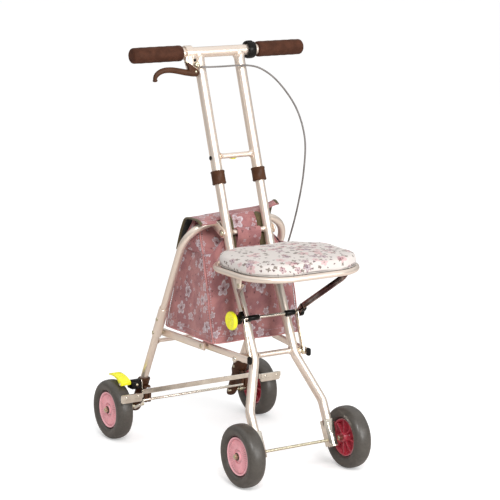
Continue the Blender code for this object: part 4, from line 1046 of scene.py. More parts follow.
def pulled(p):
    """How a point of the pad's plan turns round the seat's middle, and how far the cover draws it in."""
    slant = math.atan2(p.y - SEAT_MID, p.x)
    wave = math.cos(2 * slant)
    return slant, 1 - 0.010 * max(0.0, wave) - 0.006 * max(0.0, -wave)


def cushion_shape(count=132, layers=11):
    """A crowned pad that swells out over the hoop and draws in at its foot."""
    crown, rings = sizes().crown / MM, []
    for inset, z in CUSHION_SIDE:
        ring = []
        for p in resample(plan(inset, PAD_REAR - max(0.0, inset - 4) * 0.6, 14), count):
            slant, pull = pulled(p)
            fore = max(0.0, SEAT_MID - p.y) / (SEAT_MID - RING_FRONT)
            lean = blend_in(z, 429, 440)
            ring.append(at(p.x * pull - 2.4 * lean * blend_in(p.x, 0, RING_X),
                           SEAT_MID + (p.y - SEAT_MID) * pull + 5 * lean * fore ** 2, z + 0.6 * math.sin(7 * slant)))
        rings.append(ring)
    edge, top, heart = rings[-1], CUSHION_SIDE[-1][1], at(0, SEAT_MID, 0)
    for q in range(1, layers):
        t = q / layers
        z = top + crown * (1 - (1 - t) ** 2.2)
        rings.append([Vector((p.x * (1 - t), heart.y + (p.y - heart.y) * (1 - t), z)) for p in edge])
    verts, faces = loft(rings, caps=False)
    verts += [Vector((0, heart.y, top + crown)), Vector((0, heart.y, CUSHION_SIDE[0][1]))]
    last, tip, low = (len(rings) - 1) * count, len(verts) - 2, len(verts) - 1
    for i in range(count):
        j = (i + 1) % count
        faces += [(last + i, last + j, tip), (j, i, low)]
    return verts, faces


def swell(obj, cap, voxel, pressure):
    """Fill a pad like a stuffed cover: a short cloth run under pressure, its moves capped."""
    mod = obj.modifiers.new("remesh", "REMESH")
    mod.mode, mod.voxel_size = "VOXEL", voxel * MM
    settle(obj)
    before = [v.co.copy() for v in obj.data.vertices]
    cloth = obj.modifiers.new("cloth", "CLOTH")
    cloth.settings.use_pressure = True
    cloth.settings.uniform_pressure_force = pressure
    cloth.settings.effector_weights.gravity = 0.0
    cloth.settings.quality = 5
    cloth.settings.tension_stiffness = cloth.settings.compression_stiffness = 18.0
    cloth.point_cache.frame_start, cloth.point_cache.frame_end = 1, 20
    scene = bpy.context.scene
    for k in range(1, 21):
        scene.frame_set(k)
    mesh = result_of(obj)
    scene.frame_set(1)
    for v, old in zip(mesh.vertices, before):
        move = v.co - old
        if move.length > cap * MM:
            v.co = old + move.normalized() * cap * MM


def build_cushion():
    """The printed seat cushion, stuffed, with a corded seam round its foot."""
    cloth, around = cotton_print(), 6.6
    pad = mesh_piece("seat_cushion", *cushion_shape(), cloth)
    swell(pad, 1.4, 4, 4.0)
    smooth = pad.modifiers.new("round", "SUBSURF")
    smooth.levels = smooth.render_levels = 1
    settle(pad)
    hoop, middle = hoop_line(), at(0, SEAT_MID, 0)
    for v in pad.data.vertices:
        p = v.co / MM
        p.z = max(p.z, CUSHION_SIDE[0][1] - 0.3)
        near = min(hoop, key=lambda q: (q - p).length)
        if (p - near).length < around:
            p = near + (p - near).normalized() * around
        v.co = p * MM
    layer = pad.data.uv_layers.new(name="Cloth")
    for loop in pad.data.loops:
        p = pad.data.vertices[loop.vertex_index].co / MM
        flat = Vector((p.x, p.y - middle.y))
        drop = max(0.0, CUSHION_SIDE[-3][1] - p.z)
        layer.data[loop.index].uv = (flat + flat.normalized() * drop) * MM
    pad.data.shade_smooth()
    pad.data.materials.clear()
    pad.data.materials.append(cloth)
    dress(pad, "seat", "print_cloth", "cushion")
    line = []
    for p in plan(1.6, PAD_REAR, 16):
        pull = pulled(p)[1]
        line.append(at(p.x * pull, SEAT_MID + (p.y - SEAT_MID) * pull, 428.7))
    seams = [pipe("seam_foot", line, 0.9, cloth_cord(), 10, closed=True),
             stitches("seam_stitches", [resample([p + Vector((0, 0, 2.4)) for p in line], 220)], cotton_thread(),
                      closed=True, pitch=3.4, thread=0.3)]
    join("cushion_seams", seams, "seat", "print_cloth")


def build_linkage():
    """The struts on their cross rod, the knuckles, the yellow knob and the lower links."""
    plating, dark, yellow, steel = chrome(), black_plastic(), yellow_plastic(), zinc_steel()
    a, b = at(0, *TOGGLE), at(0, *LUG_PIN)
    along, run, half = (b - a).normalized(), (b - a).length, 6.5
    across = Vector((1, 0, 0)).cross(along)
    gap = (a - on_lower(0, TOGGLE[1])).dot(FRONT)
    struts = [pipe("cross_rod", [at(-91.8, *TOGGLE), at(78.3, *TOGGLE)], 3, plating, 24, ends=0.8)]
    for side, s, out in SIDES:
        rings = []
        for u, x in ((-half, 68.5), (0, 68.5), (10, 68.5), (16, 69), (22, 70.5), (run - 22, 121.5),
                     (run - 16, 123), (run - 10, 123.5), (run, 123.5), (run + half, 123.5)):
            w = max(1.2, math.sqrt(max(0.0, half ** 2 - max(0.0, -u, u - run) ** 2)))
            rings.append([a + along * u + across * c + Vector((s * x + t, 0, 0))
                          for c, t in chamfered(-w, w, -1.5, 1.5, 0.6, 0.4)])
        # The struts wear chrome whose tone holds painted reflection
        struts.append(mesh_piece("strut", *loft(rings), reflection_painted_chrome()))
        link = [link_bar("link", TOGGLE, LINK_PIN, s * 64, 13, 3, plating),
                studs("link_heads", [(at(s * 65.6, *LINK_PIN), out), (at(s * 62.4, *LINK_PIN), -out)], steel, 4.4, 2,
                      20)]
        join("low_link_" + side, link, "lower_links", "chrome", "lower_link_" + side)
        start = at(s * 70.3, *TOGGLE)
        knuckle = [spin("boss", [(3.3, 0), (8.8, 0), (9.6, 0.9), (9.6, 6.2), (8.4, 7.5), (3.3, 7.5)], start, out, dark,
                        40),
                   plate("web", [(4, -7.2), (17.5, -7.8), (20.5, -6.2), (20.5, 6.2), (17.5, 7.8), (4, 7.2)],
                         start + out * (-2.6 if s > 0 else 6.6), along, across, 9.2, dark, 1)]
        join("knuckle_block_" + side, knuckle, "struts", "black_plastic", "knuckle_" + side)
        x0, x1 = (-52, -27) if s < 0 else (36, 59)
        rest = [spin("rod_sleeve", sleeve(3.3, 5.6, x1 - x0, 0.6, 0.8), at(x0, *TOGGLE), (1, 0, 0), dark, 32),
                plate("clip", [(-6.2, 8.6), (6.2, 8.6), (5.2, gap - 3.4), (-5.2, gap - 3.4)],
                      a - FRONT * gap + Vector((s * TUBE_X + 5.5, 0, 0)), DOWN, FRONT, 11, dark, 0.8)]
        join("rod_rest_" + side, rest, "main_frame", "black_plastic", "rod_clip_" + side)
    join("strut_frame_bars", struts, "struts", "chrome", "strut_frame")
    knob = [(3.3, 0), (16.5, 0), (18.2, 0.6), (18.9, 2), (19, 5), (18.6, 6.6), (17.6, 7.6), (15.8, 8), (14, 7.9),
            (12.8, 7.4), (10, 7.3), (3.3, 7.3)]
    disc = [spin("knob_disc", knob, at(-87, *TOGGLE), (-1, 0, 0), yellow, 72),
            studs("knob_plug", [(at(-94.2, *TOGGLE), (-1, 0, 0))], yellow, 4.2, 1, 24)]
    join("release_disc", disc, "struts", "yellow_plastic", "release_knob")



# ---- Carry bag, lid and strap

BAG_LOW, BAG_RIM, BAG_FRONT, BAG_HALF = 252, 434, 455, 104.5

def front_of(z):
    return 147 + 0.209 * (z - BAG_LOW)

def rear_of(z):
    return 345 - 0.360 * (z - BAG_LOW)

def bag_outline(z, inset=0):
    """The bag's plan at a height, starting at the middle of the rear."""
    front, rear, half = front_of(z) + inset, rear_of(min(z, 470)) - inset, BAG_HALF - inset
    return round_line([(-half, rear, 0), (-half, front, 0), (half, front, 0), (half, rear, 0)], [12] * 4, 6)

def bag_point(p, z, sag):
    """Where the cloth lies: panels hang in and out between the seams and crease towards the corners."""
    x, y = p.x, p.y
    low = (z - BAG_LOW) / (BAG_RIM - BAG_LOW)
    belly = math.sin(math.pi * max(0.0, min(1.0, low)))
    front, rear = front_of(z), rear_of(z)
    side, depth = abs(x) / BAG_HALF, (y - front) / max(20, rear - front)
    folds = (math.sin(0.031 * x + 0.017 * z + 1.3) * 0.5 + math.sin(0.055 * x - 0.038 * z) * 0.3
             + math.sin(0.090 * z + 0.020 * y) * 0.25)
    if depth < 0.06:
        pleat = math.exp(-((side - 0.86) / 0.10) ** 2) * math.sin(0.024 * z + 2.0)
        y += sag * belly * (0.30 * folds * (1 - side ** 4) + 0.45 * pleat - 0.50 * (1 - side ** 2))
    elif depth > 0.94:
        y += sag * 0.8 * belly * (1 - side ** 2) + sag * 0.22 * folds
    else:
        fold = math.sin(math.pi * depth) ** 1.5
        x += math.copysign(sag * fold, x) * (0.20 * math.sin(0.070 * y + 0.045 * z) - 0.95 * (0.35 + 0.65 * low))
    droop = 1.8 * math.sin(math.pi * (x / BAG_HALF + 0.2)) * (1 - low) if low < 0.5 else 0
    return at(x, y, z - abs(droop))

def peak_of(p):
    """Height of the bag's upper edge round its plan: the middle of the front stands up to the strap."""
    return BAG_RIM + (BAG_FRONT - BAG_RIM) * (1 - blend_in(abs(p.x), 60, 82)) * (1 - blend_in(p.y, 198, 216))

RINGS = {}

def ring_at(z, count):
    """The bag's plan at a height, kept for the next time."""
    key = (round(z, 1), count)
    if key not in RINGS:
        RINGS[key] = resample(bag_outline(z), count)
    return RINGS[key]

def face_to(obj, direction):
    """Turn all faces of a cloth so that its print looks in the direction."""
    if sum(poly.normal.dot(Vector(direction)) * poly.area for poly in obj.data.polygons) < 0:
        obj.data.flip_normals()
    return sum(poly.area for poly in obj.data.polygons)

def build_bag():
    """The printed carry bag: an open shell with corded seams, a hem and a dark lining."""
    cloth, cord, thread = rose_print(), rose_cord(), rose_thread()
    sag, piping = sizes().bag_sag / MM, sizes().piping / MM
    count, rows, steps, heart = 176, 34, 8, 246
    foot = resample(bag_outline(BAG_LOW), count)
    around = lengths(foot + foot[:1])
    verts, uv, faces = [], [], grid_faces(rows, count)
    for r in range(rows + 1):
        t = r / rows
        for i in range(count + 1):
            k = i % count
            z = BAG_LOW + 4 + (peak_of(ring_at(BAG_LOW + (BAG_RIM - BAG_LOW) * t, count)[k]) - BAG_LOW - 4) * t
            verts.append(bag_point(ring_at(z, count)[k], z, sag))
            uv.append((around[i], z * 1.02))
    first, width = len(verts), count + 1
    for q in range(steps):
        k = 1 - (q + 1) / steps * 0.999
        for i in range(width):
            x, y = foot[i % count].x * k, heart + (foot[i % count].y - heart) * k
            dip = 4 * k ** 6 + 1.2 * math.sin(0.040 * x) * math.sin(0.050 * y) * (1 - k ** 4)
            verts.append(at(x, y, BAG_LOW + dip + 0.8))
            uv.append((x + 400, y))
        for i in range(count):
            a, b = first + (q - 1) * width + i if q else i, first + q * width + i
            faces.append((a + 1, a, b, b + 1))
    shell = mesh_piece("bag_shell", verts, faces, (cloth, dark_lining()), 70, uv)
    outward(shell, weld=0.00002)
    thicken(shell, 2.2)
    dress(shell, "main_frame", "rose_cloth", "bag")
    trims = []
    for s in (-1, 1):
        for edge_of, way in ((front_of, 1), (rear_of, -1)):
            line = [at(s * (BAG_HALF - 1.4) + 0.7 * math.sin(0.060 * z + s), edge_of(z) + 2.2 * way, z)
                    for z in (BAG_LOW + 4 + (BAG_RIM - BAG_LOW - 8) * k / 39 for k in range(40))]
            beside = [[p + Vector(move) for p in line] for move in ((-s * 4.2, -2.2 * way, 0), (s * 1.2, 4.2 * way, 0))]
            trims += [pipe("corner_cord", line, piping, cord, 10),
                      stitches("corner_stitches", beside, thread, pitch=5.2, thread=0.6)]
    low, hem = ([bag_point(p, BAG_LOW + up, sag) for p in resample(bag_outline(BAG_LOW + up, -out), n)]
                for up, out, n in ((4.5, 0.6, 220), (17, 0.5, 260)))
    edge = []
    for k, p in enumerate(ring_at(BAG_RIM, 260)):
        top = peak_of(p)
        edge.append(bag_point(ring_at(top, 260)[k], top - 0.6, sag))
    trims += [pipe("foot_cord", low, piping * 0.9, cord, 10, closed=True),
              stitches("hem_stitches", [hem], thread, closed=True),
              pipe("rim_hem", edge, 1.7, cloth, 10, closed=True)]
    join("bag_trims", trims, "main_frame", "rose_cloth")

def through(points, u):
    """A point at u along points given as (u, x, y, z) rows."""
    for (u0, *a), (u1, *b) in zip(points, points[1:]):
        if u <= u1:
            return at(*a).lerp(at(*b), blend_in(u, u0, u1) * 0.5 + (u - u0) / (u1 - u0) * 0.5)
    return at(*points[-1][1:])

# Three lines along the cheek, as (share, x, y, z) rows: on the bag's rim, halfway up and under the lid
CHEEK = (
    ((-0.60, -37, 190, 435), (-0.36, -63, 186.8, 435), (0, -102.6, 186.8, 432.5), (1, -103.2, 281, 432.5)),
    ((-0.60, -37, 229, 464), (-0.36, -63, 228, 464), (0, -85, 229, 463), (0.25, -93.5, 233, 462),
     (0.50, -98.5, 245, 454), (1, -103.2, 281.2, 433.8)),
    ((-0.60, -37, 245, 498.5), (-0.36, -63, 245, 498.5), (0, -80, 245, 498), (0.25, -88, 246, 497),
     (0.45, -94.5, 250, 479), (0.70, -100, 262, 458), (1, -103.2, 281.5, 435.2)))

def build_cheek():
    """The left cheek: it leaves the bag's rim, passes back under the bent tube and rises to the lid."""
    cloth, thread, piping = rose_print(), rose_thread(), sizes().piping / MM
    columns, rows, seam_at = 60, 16, 23
    grid, uv, n = [], [], columns + 1
    for r in range(rows + 1):
        t = r / rows
        for c in range(n):
            u = -0.60 + 1.60 * c / columns
            low, mid, top = (through(line, u) for line in CHEEK)
            slack = math.sin(math.pi * t) * (1.4 * math.sin(9 * u + 5 * t) + 0.8 * math.sin(23 * u - 7 * t))
            grid.append(low * (1 - t) * (1 - 2 * t) + mid * 4 * t * (1 - t) + top * t * (2 * t - 1)
                        + Vector((-0.5, -0.6, 0.3)) * slack)
            uv.append((u * 95 + 620, 440 + t * 72))
    cheek = mesh_piece("bag_cheek", grid, grid_faces(rows, columns), (cloth, dark_lining()), 70, uv)
    area = face_to(cheek, (-1, -1, 0))
    thicken(cheek, 1.6)
    dress(cheek, "main_frame", "rose_cloth")
    seam = [p + Vector((-0.8, -1.2, 0.4)) for p in grid[seam_at::n]]
    beside = [[p + Vector((w, -w * 0.4, 0.3)) for p in seam] for w in (-3.4, 3.6)]
    trims = [pipe("cheek_cord", seam, piping, rose_cord(), 10),
             pipe("cheek_edge", [p + Vector((0, 0, 0.4)) for p in grid[::n]], 1.4, cloth, 10),
             pipe("cheek_back", grid[rows * n + seam_at + 8:], 1.4, cloth, 10),
             stitches("cheek_stitches", beside, thread, pitch=5.2, thread=0.6)]
    for piece in (cheek, join("cheek_trims", trims, "main_frame", "rose_cloth")):
        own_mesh(piece)

def build_gusset():
    """The loose upper side inside the bent tube."""
    columns, rows = 30, 10
    grid, uv = [], []
    for r in range(rows + 1):
        for u in (c / columns for c in range(columns + 1)):
            y = 218 + 62 * u
            z = BAG_RIM - 3 + (3 + 26 * math.sin(math.pi * (0.08 + 0.84 * u))) * r / rows
            fold = 1.6 * math.sin(0.095 * y + 0.040 * z) * min(1.0, r / 3)
            grid.append(at(101.2 - 3.5 * math.sin(math.pi * u) - 0.75 * (z - BAG_RIM) + fold, y, z))
            uv.append((y + 500, z * 1.02))
    gusset = mesh_piece("bag_gusset", grid, grid_faces(rows, columns), (rose_print(), dark_lining()), 70, uv)
    area = face_to(gusset, (1, 0, 0))
    thicken(gusset, 1.6)
    dress(gusset, "main_frame", "rose_cloth")
    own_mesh(gusset)

def cloth_sheet(name, line, half, mats, columns, ripple, depth, seed, shift=0.0):
    """Cloth along a line of (y, z), across the walker, with soft ripples and its own map."""
    pts = spline([(0, y, z) for y, z in line], 10)
    pts = resample(pts, max(24, len(pts)), closed=False)
    runs, verts, uv, n = lengths(pts), [], [], columns + 1
    for r, (p, run) in enumerate(zip(pts, runs)):
        t = (pts[min(r + 1, len(pts) - 1)] - pts[max(r - 1, 0)]).normalized()
        normal = Vector((0, -t.z, t.y)) * (-1 if t.y < 0 else 1)
        for x in (half * (2 * c / columns - 1) for c in range(n)):
            q = p + normal * ripple * (math.sin(0.046 * x + 0.024 * run + seed) * 0.6
                                       + math.sin(0.021 * x - 0.038 * run + seed) * 0.7)
            verts.append(at(x + shift, q.y, q.z))
            uv.append((x + 210 + seed * 10, run + 310))
    obj = mesh_piece(name, verts, grid_faces(len(pts) - 1, columns), mats, 70, uv)
    face_to(obj, (0, 0.4, 1))
    thicken(obj, depth)
    return obj, [verts[::n], verts[columns::n]], runs[-1] * MM

def tape_edge(name, line, width):
    """Binding tape folded over an edge: a flat rounded strip along the line."""
    return pipe(name, line, lambda t: circle(16, width / 2, 1.9), olive_tape())

# The lid's line from its front lip over the top and down the back: y with what the left and right ends add,
# z with the same, and the shares of the tilt and of the raised right tip
LID = ((208, -14, 27, 498.5, -3, 6.5, 1, 0), (213, -11, 25, 502.2, -2, 5, 1, 0), (223, -6, 22, 504.2, -1, 3, 1, 4),
       (245, 0, 6, 504.5, -1.5, 1, 1, 5), (258, 0, 3, 497.5, 0, 0, 0.7, 0), (269, 0, 0, 478, 0, 0, 0.3, 0),
       (279.5, 0, 0, 453, 0, 0, 0, 0), (288.5, 0, 0, 428, 0, 0, 0, 0))

def lid_profile(x):
    left, right, tip = blend_in(-x, 60, 70), blend_in(x, 40, 104), blend_in(x, 78, 104)
    return [(0, y + yl * left + yr * right, z + zl * left + zr * right + 4.8 * x / 104 * tilt + rise * tip)
            for y, yl, yr, z, zl, zr, tilt, rise in LID]

def build_lid():
    """The lid over the rear tube, its bound ends, hanging tab and seams."""
    cloth, lining, thread = rose_print(), dark_lining(), rose_thread()
    columns, rows, half = 72, 56, 101.5
    grid, uv, n = [], [], rows + 1
    for x in (half * (2 * c / columns - 1) for c in range(columns + 1)):
        for r, p in enumerate(resample(spline(lid_profile(x), 8), n, closed=False)):
            t = r / rows
            wave = 0.9 * math.sin(0.046 * x + 5 * t) + 0.7 * math.sin(0.021 * x - 9 * t)
            grid.append(at(x * (1 + 0.020 * t) + 4 * blend_in(x, 70, half) * (1 - t), p.y,
                           p.z + wave * math.sin(math.pi * min(1.0, 4 * t + 0.15))))
            uv.append((x + 210, t * 112 + 310))
    lid = mesh_piece("lid_cover", grid, grid_faces(columns, rows), (cloth, lining), 70, uv)
    area = face_to(lid, (0, 0.4, 1))
    thicken(lid, 2.2)
    dress(lid, "main_frame", "rose_cloth", "bag_lid")
    trims = []
    for first, inward in ((0, 1), (columns * n, -1)):
        line = [p + Vector((0, 0, -1.1)) for p in grid[first:first + n]]
        trims += [tape_edge("lid_tape", line, sizes().tape_width / MM),
                  stitches("lid_stitches", [[p + Vector((inward * 6.2, 0, 1.3)) for p in line]], thread)]
    trims += [tape_edge("lid_hem", [p + Vector((0, 0.8, 0)) for p in grid[rows::n]], 6),
              pipe("lid_lip", [p + Vector((0, -0.6, -0.6)) for p in grid[::n]], 1.4, cloth, 10, ends=1),
              stitches("lip_stitches", [[p + Vector((0, -0.3, 0.4)) for p in grid[3::n][2:columns - 1]]], thread)]
    join("lid_trims", trims, "main_frame", "rose_cloth")
    tab = [(182.8, 434), (185.8, 447), (187.8, 456), (192.6, 471), (196.5, 485), (200, 493.5), (206, 499.5),
           (215, 503)]
    panel, (left, right), run = cloth_sheet("lid_tab", tab, 35.5, (cloth, lining), 30, 0.5, 1.8, 2.0, 6.5)
    dress(panel, "main_frame", "rose_cloth")
    right = [p + Vector((-4.8, -0.6, 0)) for p in right]
    bands = [tape_edge("tab_tape", resample(line, 40, closed=False), width) for line, width in ((right, 15), (left, 6))]
    join("tab_bands", bands, "main_frame", "rose_cloth")

def build_strap():
    """The printed strap looped over the pivot rung."""
    cloth, (y, z) = rose_print(), PIVOT
    turns = [math.radians(190 - 215 * k / 10) for k in range(11)]
    loop = [(184.2, 442), (181.8, 448), (177.5, 458)] + [(y + 6.2 * math.cos(a), z + 6.2 * math.sin(a)) for a in turns]
    strap, ends, run = cloth_sheet("bag_loop", loop, 27.5, (cloth, cloth), 24, 0.2, 1.5, 5.0)
    dress(strap, "main_frame", "rose_cloth", "bag_strap")
    rows = [[p + Vector((way * 3.5, -0.9, 0.4)) for p in line] for line, way in zip(ends, (1, -1))]
    dress(stitches("loop_stitches", rows, rose_thread()), "main_frame", "rose_cloth")

# ---- Handle, lever, cable and brakes

def build_handle():
    """The telescopic handle with its bar, grips, collars, ring and release button."""
    paint, brown, dark = champagne_paint(), brown_plastic(), black_plastic()
    y, z = BAR
    parts = [pipe("bar", [at(-198, y, z), at(198, y, z)], 11, paint, 44)]
    run = (on_upper(0, 592) - on_upper(0, 566)).length
    band = [(11.3, 0), (13.4, 0), (14.3, 1), (14.5, 3.2), (13.9, 4), (13.8, run - 4), (14.4, run - 3.2),
            (14.5, run - 1), (13.6, run), (11.3, run)]
    for side, s, _ in SIDES:
        top = at(s * TUBE_X, y - 0.325 * 3, z - 3)
        parts += [pipe("stem", [on_upper(s * TUBE_X, 567), top], 11, paint, 44),
                  flare("stem_weld", top - UP * 5.5, -UP, 11, 14.2, 12, paint)]
        low = on_upper(s * TUBE_X, 566)
        collar = [spin("collar_band", band, low, UP, brown, 56),
                  plate("collar_lug", [(-3.2, 4), (3.2, 4), (3.2, run - 4), (-3.2, run - 4)],
                        low + Vector((0, 13, -4.2)), (1, 0, 0), UP, 2.2, brown, 0.6)]
        join("brown_collar_" + side, collar, "handle", "brown_plastic", "collar_" + side)
    parts += rung("rung", 40, 37.8, upper_y(620), 620, 5.5, 9.2, 8, paint)
    join("handle_tubes", parts, "handle", "champagne_paint", "handle_frame")
    dress(studs("lock_button", [(on_upper(-58.8, 618), (-1, 0, 0))], dark, 4.8, 2.2, 24), "handle", "black_plastic")
    for side, s, inner in (("left", -1, 87), ("right", 1, 92)):
        run = 202 - inner
        profile = [(11.3, 0), (12.8, 0), (14.8, 1), (15.8, 2.8)]
        profile += [(16 + 0.18 * math.sin(math.tau * sizes().grip_rings * t), 2.8 + (run - 9.8) * t)
                    for t in (k / 24 for k in range(1, 24))]
        profile += [(15.8, run - 5.8), (14.8, run - 2.8), (12.8, run - 0.8), (9.5, run - 0.2), (0.1, run)]
        rings = [[at(s * (inner + x), y + a, z + b) for a, b in circle(56, r)] for r, x in profile]
        dress(mesh_piece("foam_grip_" + side, *loft(rings), brown_grip(), 50), "handle", "brown_grip", "grip_" + side)
    x0, x1 = 66, 84.5
    cut = ((11.3, x0 + 1), (15, x0), (17.6, x0 + 1.5), (18.5, x0 + 5), (18.5, x1 - 5), (17.6, x1 - 1.5), (15, x1),
           (11.3, x1 - 1))
    rings = [[at(x, y + r * math.cos(a), z + r * math.sin(a)) for r, x in cut]
             for a in (math.radians(114 + 332 * k / 44) for k in range(45))]
    dress(mesh_piece("stick_clip", *loft(rings), dark), "handle", "black_plastic", "cane_ring")
    half = [(-12, 0), (12, 0), (11.6, -3), (10, -6.6), (7.5, -9.2), (4, -11), (0, -11.5), (-4, -11), (-7.5, -9.2),
            (-10, -6.6), (-11.6, -3)]
    press = front_plate("release_press", half, upper_y(620) + 17.3, 11.5, yellow_plastic(), 1.2, z=622)
    dress(press, "height_button", "yellow_plastic", "release_button")

def build_lever():
    """The brake lever with its metal clamp, bracket, pivot screw and cable exit."""
    paint, brown, steel, (y, z) = champagne_paint(), brown_plastic(), zinc_steel(), BAR
    px, py, pz = -68, 275, 790
    front = Vector((0, -1, 0))
    shape = [(-86.2, 809.5), (-86.2, 817), (-83.5, 821), (-79, 822), (-62, 822), (-60.5, 820.5), (-60.5, 783.5),
             (-61.5, 780.5), (-65, 779), (-71, 779), (-74.5, 781), (-80, 790)]
    mount = [spin("clamp_band", sleeve(11.3, 15, 16), at(-80, y, z), (1, 0, 0), paint, 48),
             front_plate("lever_bracket", shape, y - 10, 7.5, paint, 1.2),
             spin("cable_barrel", [(2.2, 0), (3.6, 0), (4, 0.8), (4, 7), (3.2, 8), (2.2, 8)], at(-64, 279, 805.5),
                  (0.93, -0.30, -0.22), steel, 32),
             studs("clamp_screws", [(at(-65, y - 17.6, 812.5), front)], black_plastic(), 3.2, 2.2, 20),
             studs("clamp_nut", [(at(-84, y - 17.6, 808), front)], steel, 3.4, 3, 6, flat=True)]
    mount += [front_plate("clamp_lip", [(u - 0.7, 812.5), (u + 0.7, 812.5), (u + 0.7, 821.5), (u - 0.7, 821.5)],
                          y - 17.4, 2, paint, 0.4) for u in (-80, -69)]
    join("lever_mount", mount, "handle", "brown_plastic", "lever_clamp")
    way = spline([at(x, py, h) for x, h in
                  ((px + 4, pz - 4), (-76, 787.2), (-90, 789.3), (-105, 792.5), (-122, 795.5), (-138, 795.8),
                   (-150, 792.5), (-157.5, 787), (-160.5, 781), (-160.5, 776.5))], 6)

    def section(t):
        tip = max(0.0, t - 0.93)
        return circle(24, 5.6 - 1.2 * t + 12 * tip, 6.8 - 2 * t - 6.4 * max(0.0, t - 0.75) + 30 * tip)
    wedge = [(-88.5, 807.5), (-85, 809.5), (-79, 805), (-70, 798.5), (-62, 792.5), (-59.7, 788), (-60, 783.8),
             (-64, 781.2), (-72, 781.2), (-82, 783), (-90, 785), (-83.5, 792), (-85, 800), (-88, 804)]
    blade = [pipe("blade", way, section, brown, ends=3), front_plate("lever_arm", wedge, py + 4.8, 9.6, brown, 2.2),
             studs("lever_pin", [(at(px, py - 4.6, pz), front)], steel, 3, 1.4, 20)]
    join("lever_blade", blade, "lever", "brown_plastic", "brake_lever")

CABLE = ((-66, 278.2, 803), (-48, 271.5, 798.5), (-10, 270, 797.5), (53, 271.2, 796.5), (91, 269, 785.5),
         (118, 248, 757.5), (131, 205, 710), (134.5, 178, 650), (134.5, 182, 580), (134.5, 202, 510), (134, 226, 450),
         (136, 262, 385), (135.8, 304, 310), (135.5, 345, 235), (134, 375, 185), (130.5, 392.5, 152.3))

def build_cable():
    """The brake cable in its grey sheath, in two lengths that meet beside the seat."""
    sheath, steel = cable_sheath(), zinc_steel()
    line = spline([at(*p) for p in CABLE], 12)
    cut = min(range(len(line)), key=lambda k: abs(line[k].z - 500))
    upper = pipe("cable_upper", line[:cut + 2], 1.9, sheath, 16)
    lower = pipe("cable_lower", line[cut - 1:], 1.9, sheath, 16)
    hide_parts("brake_cable")
    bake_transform(upper)
    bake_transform(lower)
    back = (line[-6] - line[-1]).normalized()
    ferrule = [(2.1, 0), (4, 0), (4.4, 0.8), (4, 9), (2.6, 11), (2.1, 11)]
    dress(spin("cable_ferrule", ferrule, line[-1] - back * 2, back, steel, 28), "rear_frame", "zinc_steel")
    collar = [(2.1, 0), (3.3, 0), (3.6, 0.6), (3.6, 7), (2.8, 8.5), (2.1, 8.5)]
    dress(spin("cable_collar", collar, line[0], line[4] - line[0], steel, 28), "handle", "zinc_steel")

# The brake housings' outline as (height, radius): their common foot, then each side's head
HOUSING = ((49, 5), (50, 7.2), (53, 9.4), (58, 10.8), (62, 11.2), (80, 11.6), (92, 11.8))
HEADS = {"left": ((104, 11.6), (108, 12.2), (116, 13.2), (120, 13.4), (122, 12.4), (124, 13.2), (128.5, 13.2),
                  (131, 12)),
         "right": ((104, 12), (109, 13.4), (114, 15.4), (118, 16), (144, 16), (148.5, 15.4), (151, 13.8))}
FORK_LOW = ((390.5, 80), (420, 80), (424, 85), (424, 99.2), (388, 99.2))
FORK_TOP = ((390.5, 110.8), (424, 110.8), (424, 113), (421, 115.5), (392.5, 115.5))

def build_brakes():
    """The brown housings at the rear feet, the tie rod, the brake bar and its plates."""
    brown, plating, steel = brown_plastic(), chrome(), zinc_steel()
    for side, s, out in SIDES:
        rings = [[on_leg(s, h) + Vector((a, b, 0)) for a, b in circle(48, r, r * 1.06)]
                 for h, r in HOUSING + HEADS[side]]
        parts = [mesh_piece("housing_shell", *loft(rings), brown, 45)]
        for inner in (-7.5, 1):
            parts += [side_plate("fork_low", FORK_LOW, s * REAR_X + inner, 6.5, brown, 0.8),
                      side_plate("fork_top", FORK_TOP, s * REAR_X + inner, 6.5, brown, 0.6)]
        screws = [(on_leg(s, 72, -11.5), -out), (on_leg(s, 124, -11.4 if s < 0 else -15.4), -out)]
        parts.append(studs("housing_screws", screws, steel, 3.4, 1.8, 20))
        join("brake_housing_" + side, parts, "rear_frame", "brown_plastic", "housing_" + side)
    y, z = 391, 86
    crank = round_line([at(REAR_X - 4, y, z), at(-REAR_X - 10, y, z), at(-REAR_X - 16, y + 4, z - 10),
                        at(-REAR_X - 30, y + 6, z - 16)], [0, 6, 6, 0], 8)
    dress(pipe("tie_rod", crank, 2.8, plating, 20, ends=0.8), "rear_frame", "chrome", "brake_tie_rod")
    y, z, plate_y = 389, 105, 365
    line = round_line([at(u, v, z) for u, v in ((-197, plate_y), (-146, plate_y), (-136, y), (136, y), (146, plate_y),
                                                (197, plate_y))], [0, 6, 6, 6, 6, 0], 6)
    parts = [pipe("bar_flat", line, lambda t: chamfered(-1.5, 1.5, -5.25, 5.25, 0.5, 0.5), plating)]
    for s in (-1, 1):
        x0, x1 = sorted((s * 147, s * 197))
        rivets = [(at(s * u, plate_y - 1.4, z - 1), (0, -1, 0)) for u in (158, 186)]
        parts += [front_plate("shoe", chamfered(x0, x1, z - 13.25, z + 5.25, 2.8, 2.8), plate_y + 4, 3, plating, 0.7),
                  studs("shoe_rivets", rivets, plating, 3, 1.2, 16)]
    join("press_bar", parts, "brake_press", "chrome", "brake_bar")

# The pedal's outline, counted from its pin
TREAD = ((-6, 4), (-1, 7.4), (8, 11), (18, 13.6), (29, 15.2), (40, 15.4), (49, 13.8), (52, 11.8), (50.5, 10),
         (40, 11.4), (29, 11), (19, 9.2), (11, 5.4), (6, -1), (3, -3), (-5, -3))

